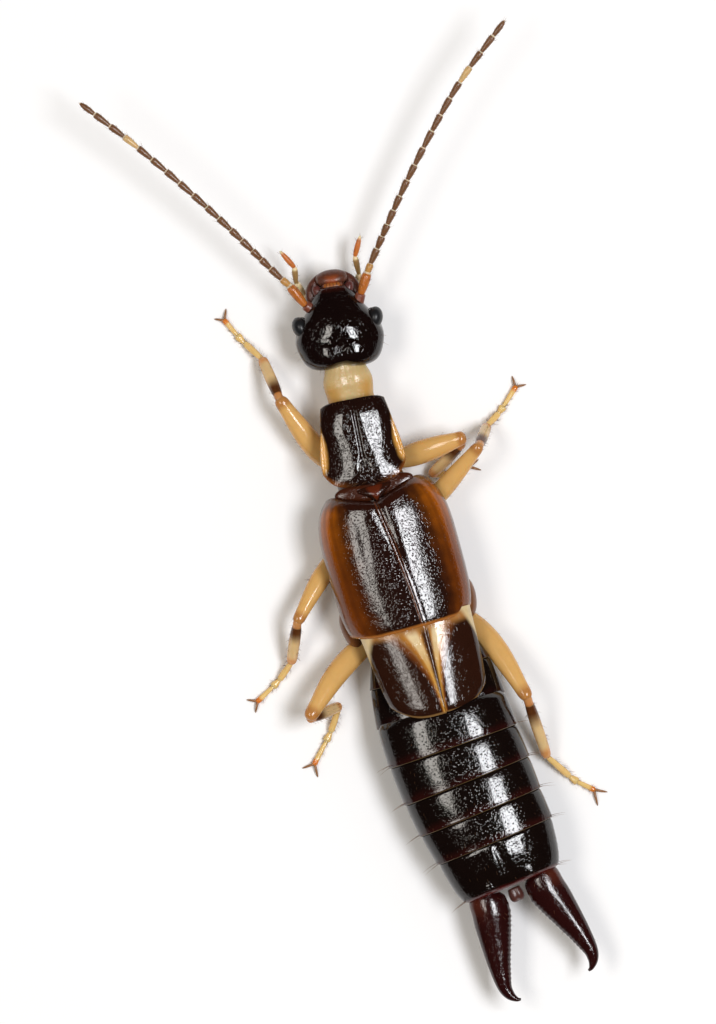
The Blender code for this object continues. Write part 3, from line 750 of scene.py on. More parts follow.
shade = look.mix(bead, shade, rgb(92, 48, 24), 0.8)
hind = look.step(look.z, 0.982, 0.010, 0.006)
shade = look.mix(hind, shade, rgb(158, 96, 40))
look.colour(shade, 0.28, 2.2)
look.relief(5.0, 0.0011, 15.0, 0.0034, 0.42, 1.0, 0.14)
case_finish = look.material

look = Finish("wing_tip", 0.10, Specular_IOR_Level=0.5)
ahead = look.maths("SUBTRACT", 1.0, look.z, clamp=True)
narrowing = look.maths("MULTIPLY_ADD", look.maths("POWER", ahead, 2.2), 0.35, 0.038)
share = look.maths("DIVIDE", look.x, narrowing)
outside_fan = look.step(share, 0.94, 0.24, 0.10)
streaks = look.maths("SINE", look.maths("MULTIPLY", share, 9.0))
rearward = look.step(look.z, 0.35, 0.3)
cream = look.mix(rearward, rgb(222, 202, 160), rgb(196, 146, 66))
gold = look.mix(look.step(streaks, 0.3, 0.8), cream, rgb(178, 120, 46))
fold_width = look.maths("MULTIPLY_ADD", ahead, -0.055, -0.012)
fold_edge = look.maths("ADD", look.x, fold_width)
fold_line = look.before(fold_edge, 0.0, 0.02, 0.01)
gold = look.mix(fold_line, gold, rgb(62, 32, 12))
edge_tone = look.mix(look.step(share, 1.35, 0.35), rgb(112, 60, 22), rgb(40, 18, 9))
shade = look.mix(outside_fan, gold, edge_tone)
front_edge = look.before(look.z, 0.125, 0.05, 0.02)
shade = look.mix(front_edge, shade, rgb(158, 108, 56))
corner_reach = look.maths("MULTIPLY_ADD", look.z, -0.9, look.x)
corner = look.step(corner_reach, 0.56, 0.07, 0.03)
shade = look.mix(corner, shade, rgb(206, 184, 140))
outer_edge = look.step(look.x, 0.955, 0.03, 0.01)
shade = look.mix(outer_edge, shade, rgb(128, 108, 78))
hind_edge = look.step(look.z, 0.983, 0.012, 0.005)
shade = look.mix(hind_edge, shade, rgb(142, 108, 64))
look.colour(shade, 0.2, 4.0)
look.relief(5.0, 0.0013, 14.0, 0.0012, 0.34, 1.0, 0.14)
tip_finish = look.material

look = Finish("scutellum", 0.16, **soft(0.1, 0.3))
centre = look.step(look.away(), 0.36, 0.12, 0.1)
look.colour(look.mix(centre, rgb(88, 34, 14), rgb(44, 18, 9)), 0.25, 6.0)
look.relief(14.0, 0.006, 16.0, 0.002)
scutellum_finish = look.material

# %% [markdown]
# ## Tail finishes
# The belly rings are black with a red glow toward each hind edge and a thin olive line where the
# shell ends. Their relief is mostly close pits, which scatter the highlight into specks. The
# forceps are dark red-brown, lighter on the outer side of the root.

# %% Tail finishes
look = Finish("belly_rings", 0.07, Specular_IOR_Level=0.55)
glow = look.step(look.z, 0.84, 0.16, 0.12)
shade = look.mix(glow, rgb(15, 7, 5), rgb(50, 13, 10), 0.6)
line = look.step(look.z, 0.976, 0.006, 0.003)
shade = look.mix(line, shade, rgb(100, 84, 52))
look.colour(shade, 0.3, 2.5)
look.relief(6.0, 0.0006, 16.0, 0.0032, 0.40, 1.0, 0.14)
ring_finish = look.material

look = Finish("last_ring", 0.07, Specular_IOR_Level=0.55)
glow = look.step(look.z, 0.93, 0.05, 0.03)
look.colour(look.mix(glow, rgb(15, 7, 5), rgb(78, 20, 16)), 0.3, 2.5)
look.relief(6.0, 0.0006, 16.0, 0.0032, 0.40, 1.0, 0.14)
last_finish = look.material

look = Finish("forceps_shell", 0.11, Specular_IOR_Level=0.55)
near_root = look.before(look.z, 0.16, 0.12, 0.04)
outer = look.step(look.x, 0.25, 0.3, 0.1)
patch = look.maths("MULTIPLY", near_root, outer)
shade = look.mix(patch, rgb(38, 10, 9), rgb(72, 31, 21))
look.colour(shade, 0.3, 4.0)
look.relief(7.0, 0.0009, 14.0, 0.0018, 0.36, 1.0, 0.14)
forceps_finish = look.material

# %% [markdown]
# ## Leg finishes
# The legs are honey amber and let light through, so light spreads under their surface by up to 0.4
# of a millimetre. In place, x runs round the limb and z counts the limb's parts: coxa 0, femur 1,
# tibia 2 and the three foot joints 3, 4 and 5, each with its own length as the part after the
# point. The knee is ringed in brown and the shin has its dark band at the knee's end. The flanks of
# each part are painted a deeper orange and the top is left lighter, as painted shade where the
# translucent limb turns away from the light.

# %% Leg finishes
HONEY = rgb(212, 168, 102)
PALE_HONEY = rgb(226, 188, 122)
LIGHT_SPREAD = (1.0, 0.7, 0.4)

look = Finish("leg_shell", 0.12, Subsurface_Radius=LIGHT_SPREAD, **soft(0.35, 0.4))
number, along_part = look.counted()
is_femur = look.same(number, 1)
is_tibia = look.same(number, 2)
is_foot = look.maths("GREATER_THAN", number, 2.5)
is_toe = look.same(number, 5)
shade = look.mix(is_foot, HONEY, PALE_HONEY)
shade = look.mix(is_tibia, shade, rgb(212, 182, 132))
# painted shade: the flanks of each limb, far out in x, turn a deeper orange than its lit top
lower = look.step(look.away(), 0.75, 0.3, 0.15)
shade = look.mix(lower, shade, rgb(202, 142, 62), 0.45)
root = look.maths("LESS_THAN", number, 0.5)
shade = look.mix(root, shade, rgb(180, 130, 66))
knee = look.maths("MULTIPLY", is_femur, look.step(along_part, 0.93, 0.04, 0.03))
shade = look.mix(knee, shade, rgb(150, 84, 34), 0.65)
started = look.step(along_part, 0.11, 0.03, 0.02)
ended = look.step(along_part, 0.38, 0.15, 0.03)
between = look.maths("SUBTRACT", started, ended, clamp=True)
dark = look.maths("MULTIPLY", is_tibia, between)
shade = look.mix(dark, shade, rgb(84, 46, 20))
top_joint = look.maths("MULTIPLY", is_tibia, look.maths("LESS_THAN", along_part, 0.12))
shade = look.mix(top_joint, shade, rgb(180, 104, 38), 0.7)
ankle = look.maths("MULTIPLY", is_tibia, look.step(along_part, 0.86, 0.06, 0.03))
shade = look.mix(ankle, shade, rgb(196, 118, 44), 0.7)
toe_end = look.maths("MULTIPLY", is_toe, look.step(along_part, 0.78, 0.1, 0.03))
shade = look.mix(toe_end, shade, rgb(206, 116, 42))
look.colour(shade, 0.12, 3.0)
look.relief(9.0, 0.002, 18.0, 0.001)
leg_finish = look.material

look = Finish("claws", 0.3)
look.colour(rgb(142, 98, 60), 0.2, 8.0)
look.relief(20.0, 0.002, 20.0, 0.0)
claw_finish = look.material

look = Finish("bristles", 0.4)
tipward = look.step(look.z, 0.6, 0.4)
look.colour(look.mix(tipward, rgb(92, 58, 32), rgb(138, 98, 60)), 0.2, 2.0)
look.relief(20.0, 0.0005, 20.0, 0.0)
bristle_finish = look.material
print("finishes:", len(bpy.data.materials))

# %% [markdown]
# ## Head
# The head is a flat heart: two swollen lobes behind, cheeks that bulge round the eyes, and a front
# that narrows to the mouth. It is one loft with extra rings between the measured ones. On the real
# shell a fine seam runs from the notch at the back to the brow and forks there. The ring's shape
# function sinks that seam, opens the notch, dishes the cheek where each eye sits and raises a low
# boss over each feeler. It also swells the two lobes and the dome before them, a little
# differently left and right, with a slight dent across between them.

# %% Head capsule
EYE_AT = (1.0, 1.56, -0.08)
EYE_RADII = (0.21, 0.27, 0.285)
EYE_TURN = 14.0
HEAD_WAIST = 1.40
FORK_AT = -0.25
FORK_ENDS = 0.32
HEAD_STATIONS = (
    (-1.315, 0.40, 1.10, 1.42, 1.72),
    (-1.29, 0.62, 1.00, 1.41, 1.84),
    (-1.22, 0.84, 0.92, 1.40, 1.95),
    (-1.08, 1.00, 0.86, 1.40, 2.04),
    (-0.85, 1.11, 0.81, 1.40, 2.07),
    (-0.55, 1.185, 0.79, 1.40, 2.05),
    (-0.30, 1.185, 0.78, 1.40, 2.04),
    (-0.08, 1.13, 0.78, 1.40, 2.04),
    (0.10, 0.98, 0.79, 1.40, 2.03),
    (0.28, 0.81, 0.80, 1.39, 1.96),
    (0.46, 0.69, 0.84, 1.37, 1.88),
    (0.62, 0.58, 0.90, 1.35, 1.79),
    (0.76, 0.48, 0.98, 1.34, 1.72),
    (0.85, 0.40, 1.04, 1.34, 1.66),
    (0.895, 0.26, 1.12, 1.36, 1.57),
)


def finer(stations, steps):
    """The same stations with smooth ones between them."""
    spans = len(stations) - 1
    rows = []
    for index in range(spans * steps + 1):
        span = min(index // steps, spans - 1)
        t = index / steps - span
        p1 = stations[span]
        p2 = stations[span + 1]
        p0 = stations[max(span - 1, 0)]
        p3 = stations[min(span + 2, spans)]
        row = []
        for a, b, c, d in zip(p0, p1, p2, p3):
            curve = (2 * a - 5 * b + 4 * c - d) * t * t + (3 * b - a - 3 * c + d) * t ** 3
            row.append((2 * b + (c - a) * t + curve) * 0.5)
        rows.append(tuple(row))
    return rows


def hump(distance, width):
    """A smooth bump that is 1 at 0 and gone by about two widths."""
    return math.exp(-((distance / width) ** 2))


def head_shape(point, x, y, along):
    """Notch, cheeks and seam, and on top the lobes, the dome before them and the brow."""
    point.z += 0.10 * hump(point.x, 0.30) * hump(along + 1.34, 0.17)
    cheek = hump(point.y + HEAD_WAIST - EYE_AT[1], 0.30) * hump(along - EYE_AT[2], 0.30)
    point.x *= 1.0 - 0.09 * cheek
    if y > 0.0:
        seam = 0.003 * hump(point.x, 0.028)
        if along > FORK_AT:
            fork = abs(abs(point.x) - (along - FORK_AT) * 1.15)
            ending = 1.0 if along < FORK_ENDS else hump(along - FORK_ENDS, 0.06)
            seam = 0.002 * hump(fork, 0.03) * ending
        point.y -= seam * min(1.0, y * 2.0)
        out = abs(point.x)
        reach = hump(along + 0.88, 0.50) if point.x > 0.0 else hump(along + 0.95, 0.44)
        lobes = 0.060 * hump(out - 0.40, 0.42) * reach
        lobes -= 0.012 * hump(along + 0.55, 0.07) * hump(out - 0.38, 0.30)
        dome_half = 0.60 if point.x > 0.0 else 0.50
        dome = 0.095 * hump(point.x, dome_half) * hump(along + 0.24, 0.34)
        brow = 0.035 * hump(out - 0.60, 0.13) * hump(along - 0.32, 0.14)
        point.y += lobes + dome + brow
    return point


head_form = new_form()
loft(head_form, finer(HEAD_STATIONS, 5), sides=96, square=2.4, shape=head_shape)
set_in(head_form, head_axes)
finish_piece("head", head_form, head_finish, ("head_capsule",), levels=1)

# %% [markdown]
# ## Eyes
# Each eye is a field of several hundred lenses. An icosphere gives points spread as evenly as the
# lenses are. Splitting every edge once and lifting the first points leaves one dome for each lens.
# The points between the lenses are marked in place, and their finish paints them darker: painted
# shade in the crevices. A thin raised rim of shell holds the eye, made by spinning a small circle
# all the way round.

# %% Eyes


TUBE_SIDES = 10
TUBE_STEPS = 48


def ring_about(bm, matrix, radii, tube):
    """A closed ring of round section, pressed to the two radii, about the matrix's z."""
    place = bm.verts.layers.float_vector[PLACE]
    turned = Matrix.Translation((1.0, 0.0, 0.0)) @ Matrix.Rotation(math.pi / 2.0, 4, "X")
    section = {"radius": tube, "segments": TUBE_SIDES, "matrix": turned}
    bmesh.ops.create_circle(bm, cap_ends=False, **section)
    bm.verts.ensure_lookup_table()
    first = bm.verts[-TUBE_SIDES:]
    edges = [edge for edge in bm.edges if edge.verts[0] in first and edge.verts[1] in first]
    known = set(bm.verts) - set(first)
    bmesh.ops.spin(
        bm,
        geom=first + edges,
        cent=(0.0, 0.0, 0.0),
        axis=(0.0, 0.0, 1.0),
        angle=2.0 * math.pi,
        steps=TUBE_STEPS,
        use_merge=True,
    )
    made = [vert for vert in bm.verts if vert not in known]
    for vert in made:
        flat = Vector((vert.co.x, vert.co.y))
        outward = flat.normalized()
        past = flat.length - 1.0
        vert[place] = (outward.x, outward.y, 0.0)
        level = [(radius + past) * share for radius, share in zip(radii, outward)]
        vert.co = Vector((*level, vert.co.z))
    bmesh.ops.transform(bm, matrix=matrix, verts=made)


LENS_RISE = 0.016
# Points between the lenses get a shorter place, which marks them for painted shade in the crevices.
CREVICE_SHADE_MARK = 0.8
RIM_LIFT = 32.0
RIM_INWARD = -0.135
RIM_RADII = (0.235, 0.225)
RIM_TUBE = 0.015

for side, word in SIDES:
    form = new_form()
    place = form.verts.layers.float_vector[PLACE]
    lenses = bmesh.ops.create_icosphere(form, subdivisions=4, radius=1.0)["verts"]
    bmesh.ops.subdivide_edges(form, edges=form.edges[:], cuts=1, use_grid_fill=True)
    middles = set(lenses)
    for vert in form.verts:
        vert.co.normalize()
        if vert in middles:
            vert[place] = vert.co
            vert.co *= 1.0 + LENS_RISE
        else:
            vert[place] = vert.co * CREVICE_SHADE_MARK
    spot = Matrix.Translation((side * EYE_AT[0], EYE_AT[1], EYE_AT[2]))
    spot = spot @ Matrix.Rotation(math.radians(side * EYE_TURN), 4, "Y")
    set_in(form, head_axes @ spot @ Matrix.Diagonal((*EYE_RADII, 1.0)))
    finish_piece(f"eye_{word}_lenses", form, eye_finish, (f"eye_{word}",))

    form = new_form()
    raised = Matrix.Rotation(math.radians(side * RIM_LIFT), 4, "Z")
    facing = Matrix.Rotation(math.radians(side * 90.0), 4, "Y")
    rim_at = spot @ raised @ Matrix.Translation((side * RIM_INWARD, 0.0, 0.0)) @ facing
    ring_about(form, rim_at, RIM_RADII, RIM_TUBE)
    set_in(form, head_axes)
    finish_piece(f"eye_{word}_rim", form, head_finish)

# %% [markdown]
# ## Feeler sockets
# In front of each eye the first feeler joint stands in a short reddish cup. It is a cone from the
# boss on the head to the root of the feeler, with a soft lip round the joint. The two feelers are
# held differently, so each cup is aimed at its own feeler.

# %% Feeler sockets
SOCKET_FROM = (0.57, 1.52, 0.32)
SCAPE_ROOTS = {-1: (-0.778, 1.62, 0.472), 1: (0.712, 1.62, 0.568)}
CUP = ((0.0, 0.17), (0.35, 0.165), (0.7, 0.145), (0.95, 0.135), (1.08, 0.125), (1.10, 0.09))

form = new_form()
for side, root in SCAPE_ROOTS.items():
    start = Vector((side * SOCKET_FROM[0], SOCKET_FROM[1], SOCKET_FROM[2]))
    rings = [(start.lerp(Vector(root), t), half, half, t) for t, half in CUP]
    limb(form, rings, sides=24)
set_in(form, head_axes)
finish_piece("feeler_sockets", form, socket_finish, levels=1)

# %% [markdown]
# ## Mouth
# Under the brow lie an orange strip (the clypeus) and the upper lip, a rounded brown dome with an
# orange middle. Left and right of them stand the jaws, dark red and hooked inward under the lip,
# and the purplish outer lobes of the cheeks. Below is the lower lip with its own short palps. Each
# is a loft or a limb in the head's axes.

# %% Upper lip
form = new_form()
strip = (
    (0.80, 0.26, 1.30, 1.42, 1.58),
    (0.86, 0.29, 1.28, 1.42, 1.61),
    (0.94, 0.28, 1.28, 1.40, 1.60),
    (1.02, 0.26, 1.30, 1.40, 1.55),
)
loft(form, finer(strip, 3), sides=40, square=2.6)
set_in(form, head_axes)
look = Finish("clypeus", 0.3, **soft(0.2, 0.3))
streak = look.maths("SINE", look.maths("MULTIPLY", look.x, 19.0))
few = look.step(streak, 0.72, 0.25, 0.3)
shade = look.mix(few, rgb(150, 86, 34), rgb(96, 46, 22))
edge = look.step(look.away(), 0.84, 0.12, 0.05)
look.colour(look.mix(edge, shade, rgb(92, 40, 28)), 0.2, 8.0)
look.relief(22.0, 0.003, 30.0, 0.0)
clypeus_finish = look.material
finish_piece("clypeus", form, clypeus_finish, levels=1)

form = new_form()
lip = (
    (0.93, 0.26, 1.28, 1.36, 1.50),
    (0.96, 0.34, 1.26, 1.36, 1.57),
    (1.02, 0.40, 1.25, 1.35, 1.61),
    (1.12, 0.425, 1.24, 1.34, 1.60),
    (1.21, 0.39, 1.24, 1.33, 1.55),
    (1.28, 0.30, 1.25, 1.32, 1.48),
    (1.325, 0.16, 1.27, 1.31, 1.40),
    (1.335, 0.05, 1.29, 1.31, 1.34),
)


def lip_shape(point, x, y, along):
    if y > 0.0:
        point.y -= 0.018 * hump(point.x, 0.05) * hump(along - 1.24, 0.09)
    return point


loft(form, finer(lip, 4), sides=56, square=2.2, shape=lip_shape)
place = form.verts.layers.float_vector[PLACE]
for vert in form.verts:
    vert[place].z = (vert[place].z - lip[0][0]) / (lip[-1][0] - lip[0][0])
set_in(form, head_axes)
finish_piece("upper_lip", form, labrum_finish, ("labrum",), levels=1)

# %% Jaws and cheeks
# Each row: aside, up, forward, half width.
JAW = (
    (0.58, 1.20, 0.44, 0.12),
    (0.605, 1.20, 0.62, 0.14),
    (0.59, 1.19, 0.80, 0.145),
    (0.52, 1.17, 0.98, 0.13),
    (0.38, 1.15, 1.13, 0.105),
    (0.22, 1.13, 1.23, 0.075),
    (0.11, 1.12, 1.27, 0.04),
    (0.07, 1.12, 1.27, 0.015),
)


jaw_rows = finer(JAW, 4)
for side, word in SIDES:
    rings = []
    for index, (aside, up, forward, half) in enumerate(jaw_rows):
        along = index / (len(jaw_rows) - 1) * 0.999
        rings.append((head_axes @ Vector((side * aside, up, forward)), half, half, along))
    form = new_form()
    limb(form, rings, sides=28, square=2.3)
    nodes = (f"mandible_{word}",)
    finish_piece(f"jaw_{word}", form, mouth_finish, nodes, levels=1)

form = new_form()
for side in (-1, 1):
    blob(form, (side * 0.42, 1.42, 0.80), (0.13, 0.14, 0.19), side * 20.0, sides=28)
    blob(form, (side * 0.40, 1.02, 0.72), (0.20, 0.20, 0.34), side * -10.0, sides=28)
set_in(form, head_axes)
look = Finish("mouth_lobes", 0.3, **soft(0.2, 0.3))
look.colour(rgb(86, 44, 40), 0.3, 7.0)
look.relief(20.0, 0.004, 26.0, 0.002)
lobe_finish = look.material
finish_piece("mouth_lobes", form, lobe_finish, levels=1)

# %% [markdown]
# ## Lower lip and palps
# The jointed palps taste the ground in front of the mouth. Each long palp has a cream stub, two
# olive-brown joints and a spindle with an orange body and a pale tip. Each joint is thickest near
# its far end and is nipped in where the next begins, so one limb with the right profile shows them
# all. The lower lip is a flat plate with two short palps of its own.

# %% Palps
LIP_PALP = ((0.18, 0.60, 0.80), (0.26, 0.58, 0.98), (0.30, 0.60, 1.14), (0.24, 0.66, 1.27))
PALPS = {
    "left": (
        (-0.56, 0.52, 0.50),
        (-0.78, 0.62, 0.81),
        (-0.95, 0.86, 1.12),
        (-0.93, 1.06, 1.53),
        (-1.26, 1.21, 2.02),
    ),
    "right": (
        (0.56, 0.52, 0.50),
        (0.68, 0.62, 0.78),
        (0.74, 0.86, 1.13),
        (0.70, 1.06, 1.60),
        (0.915, 1.22, 2.13),
    ),
}
# Along a joint: the share of its length, and the share of its full half width.
CLUB = (
    (0.0, 0.62),
    (0.06, 0.70),
    (0.30, 0.84),
    (0.60, 1.0),
    (0.82, 0.98),
    (0.93, 0.80),
    (0.99, 0.60),
)
SPINDLE = (
    (0.0, 0.60),
    (0.10, 0.84),
    (0.35, 1.0),
    (0.60, 0.92),
    (0.82, 0.66),
    (0.94, 0.40),
    (0.99, 0.16),
)
PALP_HALVES = (0.10, 0.10, 0.085, 0.08)
LIP_PALP_HALVES = (0.075, 0.075, 0.07)


def joints_of(course, halves):
    """Limb rings of a jointed palp. The last joint tapers."""
    rings = []
    for joint, full_half in enumerate(halves):
        near, far = course[joint : joint + 2]
        for t, share in SPINDLE if joint == len(halves) - 1 else CLUB:
            half = full_half * share
            rings.append((near.lerp(far, t), half, half, joint + t))
    return rings


for word, course in PALPS.items():
    form = new_form()
    points = [head_axes @ Vector(point) for point in course]
    limb(form, joints_of(points, PALP_HALVES), sides=18)
    nodes = (f"palp_{word}",)
    finish_piece(f"{word}_palp", form, palp_finish, nodes, levels=1)

form = new_form()
plate = (
    (0.05, 0.26, 0.56, 0.70, 0.86),
    (0.35, 0.40, 0.50, 0.66, 0.86),
    (0.65, 0.40, 0.48, 0.62, 0.80),
    (0.90, 0.32, 0.50, 0.62, 0.76),
    (1.05, 0.20, 0.54, 0.62, 0.70),
    (1.10, 0.08, 0.58, 0.62, 0.66),
)
loft(form, finer(plate, 3), sides=40, square=2.5)
set_in(form, head_axes)
for side in (-1, 1):
    course = [head_axes @ Vector((side * x, y, z)) for x, y, z in LIP_PALP]
    limb(form, joints_of(course, LIP_PALP_HALVES), sides=16)
finish_piece("lower_lip", form, mouth_finish, ("labium",), levels=1)

# %% [markdown]
# ## Feelers
# A feeler is a row of clubs: a long orange first joint, a short second, and then sixteen brown ones
# that widen toward their far end, each closed by a thin pale ring where the next one hinges. The
# real lash is one skin over all the joints, so it is one limb here too: its rings repeat the club's
# profile along a smooth course. A row of separate cones would gap at the bends.

# %% Feelers
FEELERS = {
    "left": (
        (1.36, -6.24, 1.62),
        (1.64, -6.88, 1.72),
        (1.79, -7.09, 1.75),
        (3.06, -9.24, 2.02),
        (4.42, -11.30, 2.26),
        (5.69, -12.99, 2.42),
    ),
    "right": (
        (-0.13, -6.14, 1.62),
        (-0.46, -6.66, 1.72),
        (-0.60, -6.86, 1.75),
        (-2.16, -8.76, 2.02),
        (-3.98, -10.68, 2.26),
        (-5.73, -12.09, 2.42),
    ),
}
JOINT_LENGTHS = (0.42, 0.34, 0.33, 0.40, 0.40, 0.45, 0.43, 0.49)
JOINT_LENGTHS += (0.48, 0.47, 0.49, 0.47, 0.47, 0.47, 0.51, 0.49)
COURSE_STEPS = 400
# Along a joint: the share of its length, and its half width.
JOINT_PROFILE = (
    (0.0, 0.058),
    (0.05, 0.066),
    (0.25, 0.080),
    (0.50, 0.094),
    (0.72, 0.102),
    (0.88, 0.100),
    (0.935, 0.090),
    (0.945, 0.078),
    (0.975, 0.075),
    (0.995, 0.060),
)
TIP_PROFILE = (
    (0.0, 0.058),
    (0.1, 0.07),
    (0.4, 0.09),
    (0.65, 0.085),
    (0.85, 0.06),
    (0.95, 0.035),
    (0.995, 0.01),
)
SCAPE_PROFILE = (
    (0.0, 0.085),
    (0.06, 0.095),
    (0.25, 0.115),
    (0.55, 0.135),
    (0.80, 0.135),
    (0.885, 0.122),
    (0.90, 0.112),
    (0.96, 0.105),
    (0.995, 0.08),
)
PEDICEL_PROFILE = (
    (0.0, 0.075),
    (0.15, 0.088),
    (0.5, 0.10),
    (0.8, 0.098),
    (0.90, 0.085),
    (0.995, 0.065),
)


def by_length(course):
    """A lookup from a share of the course's true length to its point."""
    points = [smooth_point(course, step / COURSE_STEPS) for step in range(COURSE_STEPS + 1)]
    runs = [0.0]
    for near, far in zip(points, points[1:]):
        runs.append(runs[-1] + (far - near).length)

    def at(share):
        target = share * runs[-1]
        index = next((i for i, run in enumerate(runs) if run > target), COURSE_STEPS)
        t = (target - runs[index - 1]) / (runs[index] - runs[index - 1])
        return points[index - 1].lerp(points[index], t)

    return at


def lash_rings(course):
    """Rings along the whole lash, each joint by its own share of the length."""
    total = sum(JOINT_LENGTHS)
    at = by_length(course)
    rings = []
    start = 0.0
    for joint, length in enumerate(JOINT_LENGTHS):
        profile = TIP_PROFILE if joint == len(JOINT_LENGTHS) - 1 else JOINT_PROFILE
        slim = 1.0 - 0.10 * joint / len(JOINT_LENGTHS)
        for t, half in profile:
            centre = at((start + length * t) / total)
            rings.append((centre, half * slim, half * slim, joint + 2 + t))
        start += length
    return rings


for word, course in FEELERS.items():
    socket, scape_end, pedicel_end = (Vector(point) for point in course[:3])
    rings = [(socket.lerp(scape_end, t), half, half, t) for t, half in SCAPE_PROFILE]
    for t, half in PEDICEL_PROFILE:
        rings.append((scape_end.lerp(pedicel_end, t), half, half, 1.0 + t))
    rings.extend(lash_rings((pedicel_end, *course[3:])))
    form = new_form()
    limb(form, rings, sides=18)
    nodes = (f"antenna_{word}_base", f"antenna_{word}_lash")
    finish_piece(f"feeler_{word}", form, feeler_finish, nodes, levels=1)

# %% [markdown]
# ## Body skin
# A live insect's trunk is one bag of skin, and its plates are hardened areas of that bag. So one
# closed skin runs here from inside the head, through the soft cream neck, under the wings and into
# the belly. It fills every joint between plates, which is what shows as the cream ruff behind the
# head. The neck has two folds across and two swellings side by side on top.

# %% Body skin
# Each row: which axes, forward, half width, underside, widest line, top.
SKIN = (
    (head_axes, -0.80, 0.42, 1.02, 1.34, 1.66),
    (head_axes, -1.10, 0.50, 0.98, 1.32, 1.66),
    (pronotum_axes, 2.00, 0.565, 0.96, 1.32, 1.66),
    (pronotum_axes, 1.84, 0.64, 0.92, 1.30, 1.72),
    (pronotum_axes, 1.68, 0.67, 0.95, 1.30, 1.70),
    (pronotum_axes, 1.58, 0.66, 0.96, 1.30, 1.69),
    (pronotum_axes, 1.46, 0.645, 0.92, 1.30, 1.74),
    (pronotum_axes, 1.30, 0.61, 0.90, 1.30, 1.76),
    (pronotum_axes, 1.10, 0.62, 0.92, 1.30, 1.80),
    (pronotum_axes, 0.70, 0.72, 0.86, 1.32, 1.90),
    (pronotum_axes, 0.10, 0.80, 0.82, 1.34, 1.96),
    (pronotum_axes, -0.60, 0.84, 0.82, 1.34, 1.96),
    (thorax_axes, 2.10, 0.90, 0.84, 1.34, 1.92),
    (thorax_axes, 1.40, 1.12, 0.80, 1.34, 2.02),
    (thorax_axes, 0.40, 1.22, 0.78, 1.34, 2.04),
    (thorax_axes, -0.80, 1.24, 0.78, 1.34, 2.00),
    (thorax_axes, -1.90, 1.20, 0.84, 1.30, 1.80),
    (thorax_axes, -3.10, 1.34, 0.80, 1.26, 1.72),
    (thorax_axes, -4.00, 1.46, 0.76, 1.30, 1.76),
    (thorax_axes, -4.70, 1.40, 0.84, 1.34, 1.90),
)


def skin_shape(point, x, y, along):
    if y > 0.0 and 0.1 < along < 1.1:
        point.y -= 0.05 * hump(point.x, 0.10) * min(1.0, y * 1.5)
    return point


form = new_form()
loops = []
for index, (axes, forward, half_width, low, waist, top) in enumerate(SKIN):
    matrix = axes @ Matrix.Translation((0.0, waist, forward))
    sizes = (half_width, top - waist, waist - low)
    loops.append(add_ring(form, matrix, sizes, index / 10.0, 64, 2.2, skin_shape))
skin_over(form, loops)
finish_piece("body_skin", form, skin_finish, ("neck", "thorax"), levels=1)

# %% [markdown]
# ## Breast plates
# Below, each leg-bearing ring has one flat brown plate between the coxae. They are lofts pressed
# flat, and only their undersides show.

# %% Breast plates
STERNA = (
    ("breast_front", pronotum_axes, 0.85, -0.85, 0.62, ("prothorax",)),
    ("breast_middle", thorax_axes, 2.15, 0.35, 0.84, ()),
    ("breast_hind", thorax_axes, 0.25, -1.85, 0.98, ()),
)
look = Finish("breast_plates", 0.28)
look.colour(rgb(112, 66, 32), 0.25, 2.0)
look.relief(12.0, 0.005, 15.0, 0.003)
breast_finish = look.material
for name, axes, front, hind, half_width, nodes in STERNA:
    form = new_form()
    length = front - hind
    rows = (
        (front, half_width * 0.50, 0.83, 0.92, 1.20),
        (front - 0.10 * length, half_width * 0.80, 0.78, 0.92, 1.20),
        (front - 0.45 * length, half_width, 0.75, 0.92, 1.20),
        (front - 0.85 * length, half_width * 0.92, 0.76, 0.92, 1.20),
        (hind, half_width * 0.70, 0.82, 0.92, 1.20),
    )
    loft(form, finer(rows, 3), sides=40, square=2.8)
    set_in(form, axes)
    finish_piece(name, form, breast_finish, nodes, levels=1)

# %% Flanks under the wing cases
form = new_form()
for side in (-1, 1):
    blob(form, (side * 1.60, 1.02, -1.42), (0.25, 0.34, 0.56), side * 6.0, sides=32)
    blob(form, (side * 1.40, 1.00, -0.10), (0.28, 0.34, 0.70), side * -4.0, sides=32)
    blob(form, (side * 1.22, 1.02, 1.30), (0.30, 0.32, 0.60), side * -10.0, sides=32)
set_in(form, thorax_axes)
finish_piece("flanks", form, breast_finish)

# %% [markdown]
# ## Shield behind the head
# The pronotum is a nearly square shield with turned-up amber sides, a swollen dark middle and a
# bright groove down its centre that forks toward the rear. It is a grid bent by one function of
# across and along, then given a wall. Bending a grid keeps its outline exact, which a scaled
# primitive would not. Each half keeps one gentle slope between two lines and rounds off outside
# them, because the lights show there as one long patch. However far out the slope ends, the shell
# has dropped by the same height at the edge, so the rim stays level.

# %% Pronotum
# From front to rear: half the shield's width.
SHIELD_HALVES = (0.86, 0.93, 0.985, 1.05, 1.10, 1.12)


def rounded(fraction, power):
    """A squared quarter ellipse: 1 at the middle, 0 at the end."""
    return max(0.0, 1.0 - abs(fraction) ** power) ** (1.0 / power)


# From front to rear, how far out the gentle slope begins and ends on the left and on the right.
SLOPE_BEGINS = {
    -1: (0.34, 0.36, 0.42, 0.30, 0.26, 0.27, 0.38),
    1: (0.16, 0.16, 0.19, 0.23, 0.30, 0.36, 0.42),
}
SLOPE_ENDS = {
    -1: (0.50, 0.56, 0.66, 0.50, 0.40, 0.48, 0.80),
    1: (0.66, 0.72, 0.68, 0.60, 0.44, 0.62, 0.86),
}
GENTLE = 0.17
EASE_IN = 0.06
SHIELD_EDGE = 1.10
SHIELD_DROP = 0.29
MARGIN_FROM = 0.96
GROOVE_FORKS = -0.25


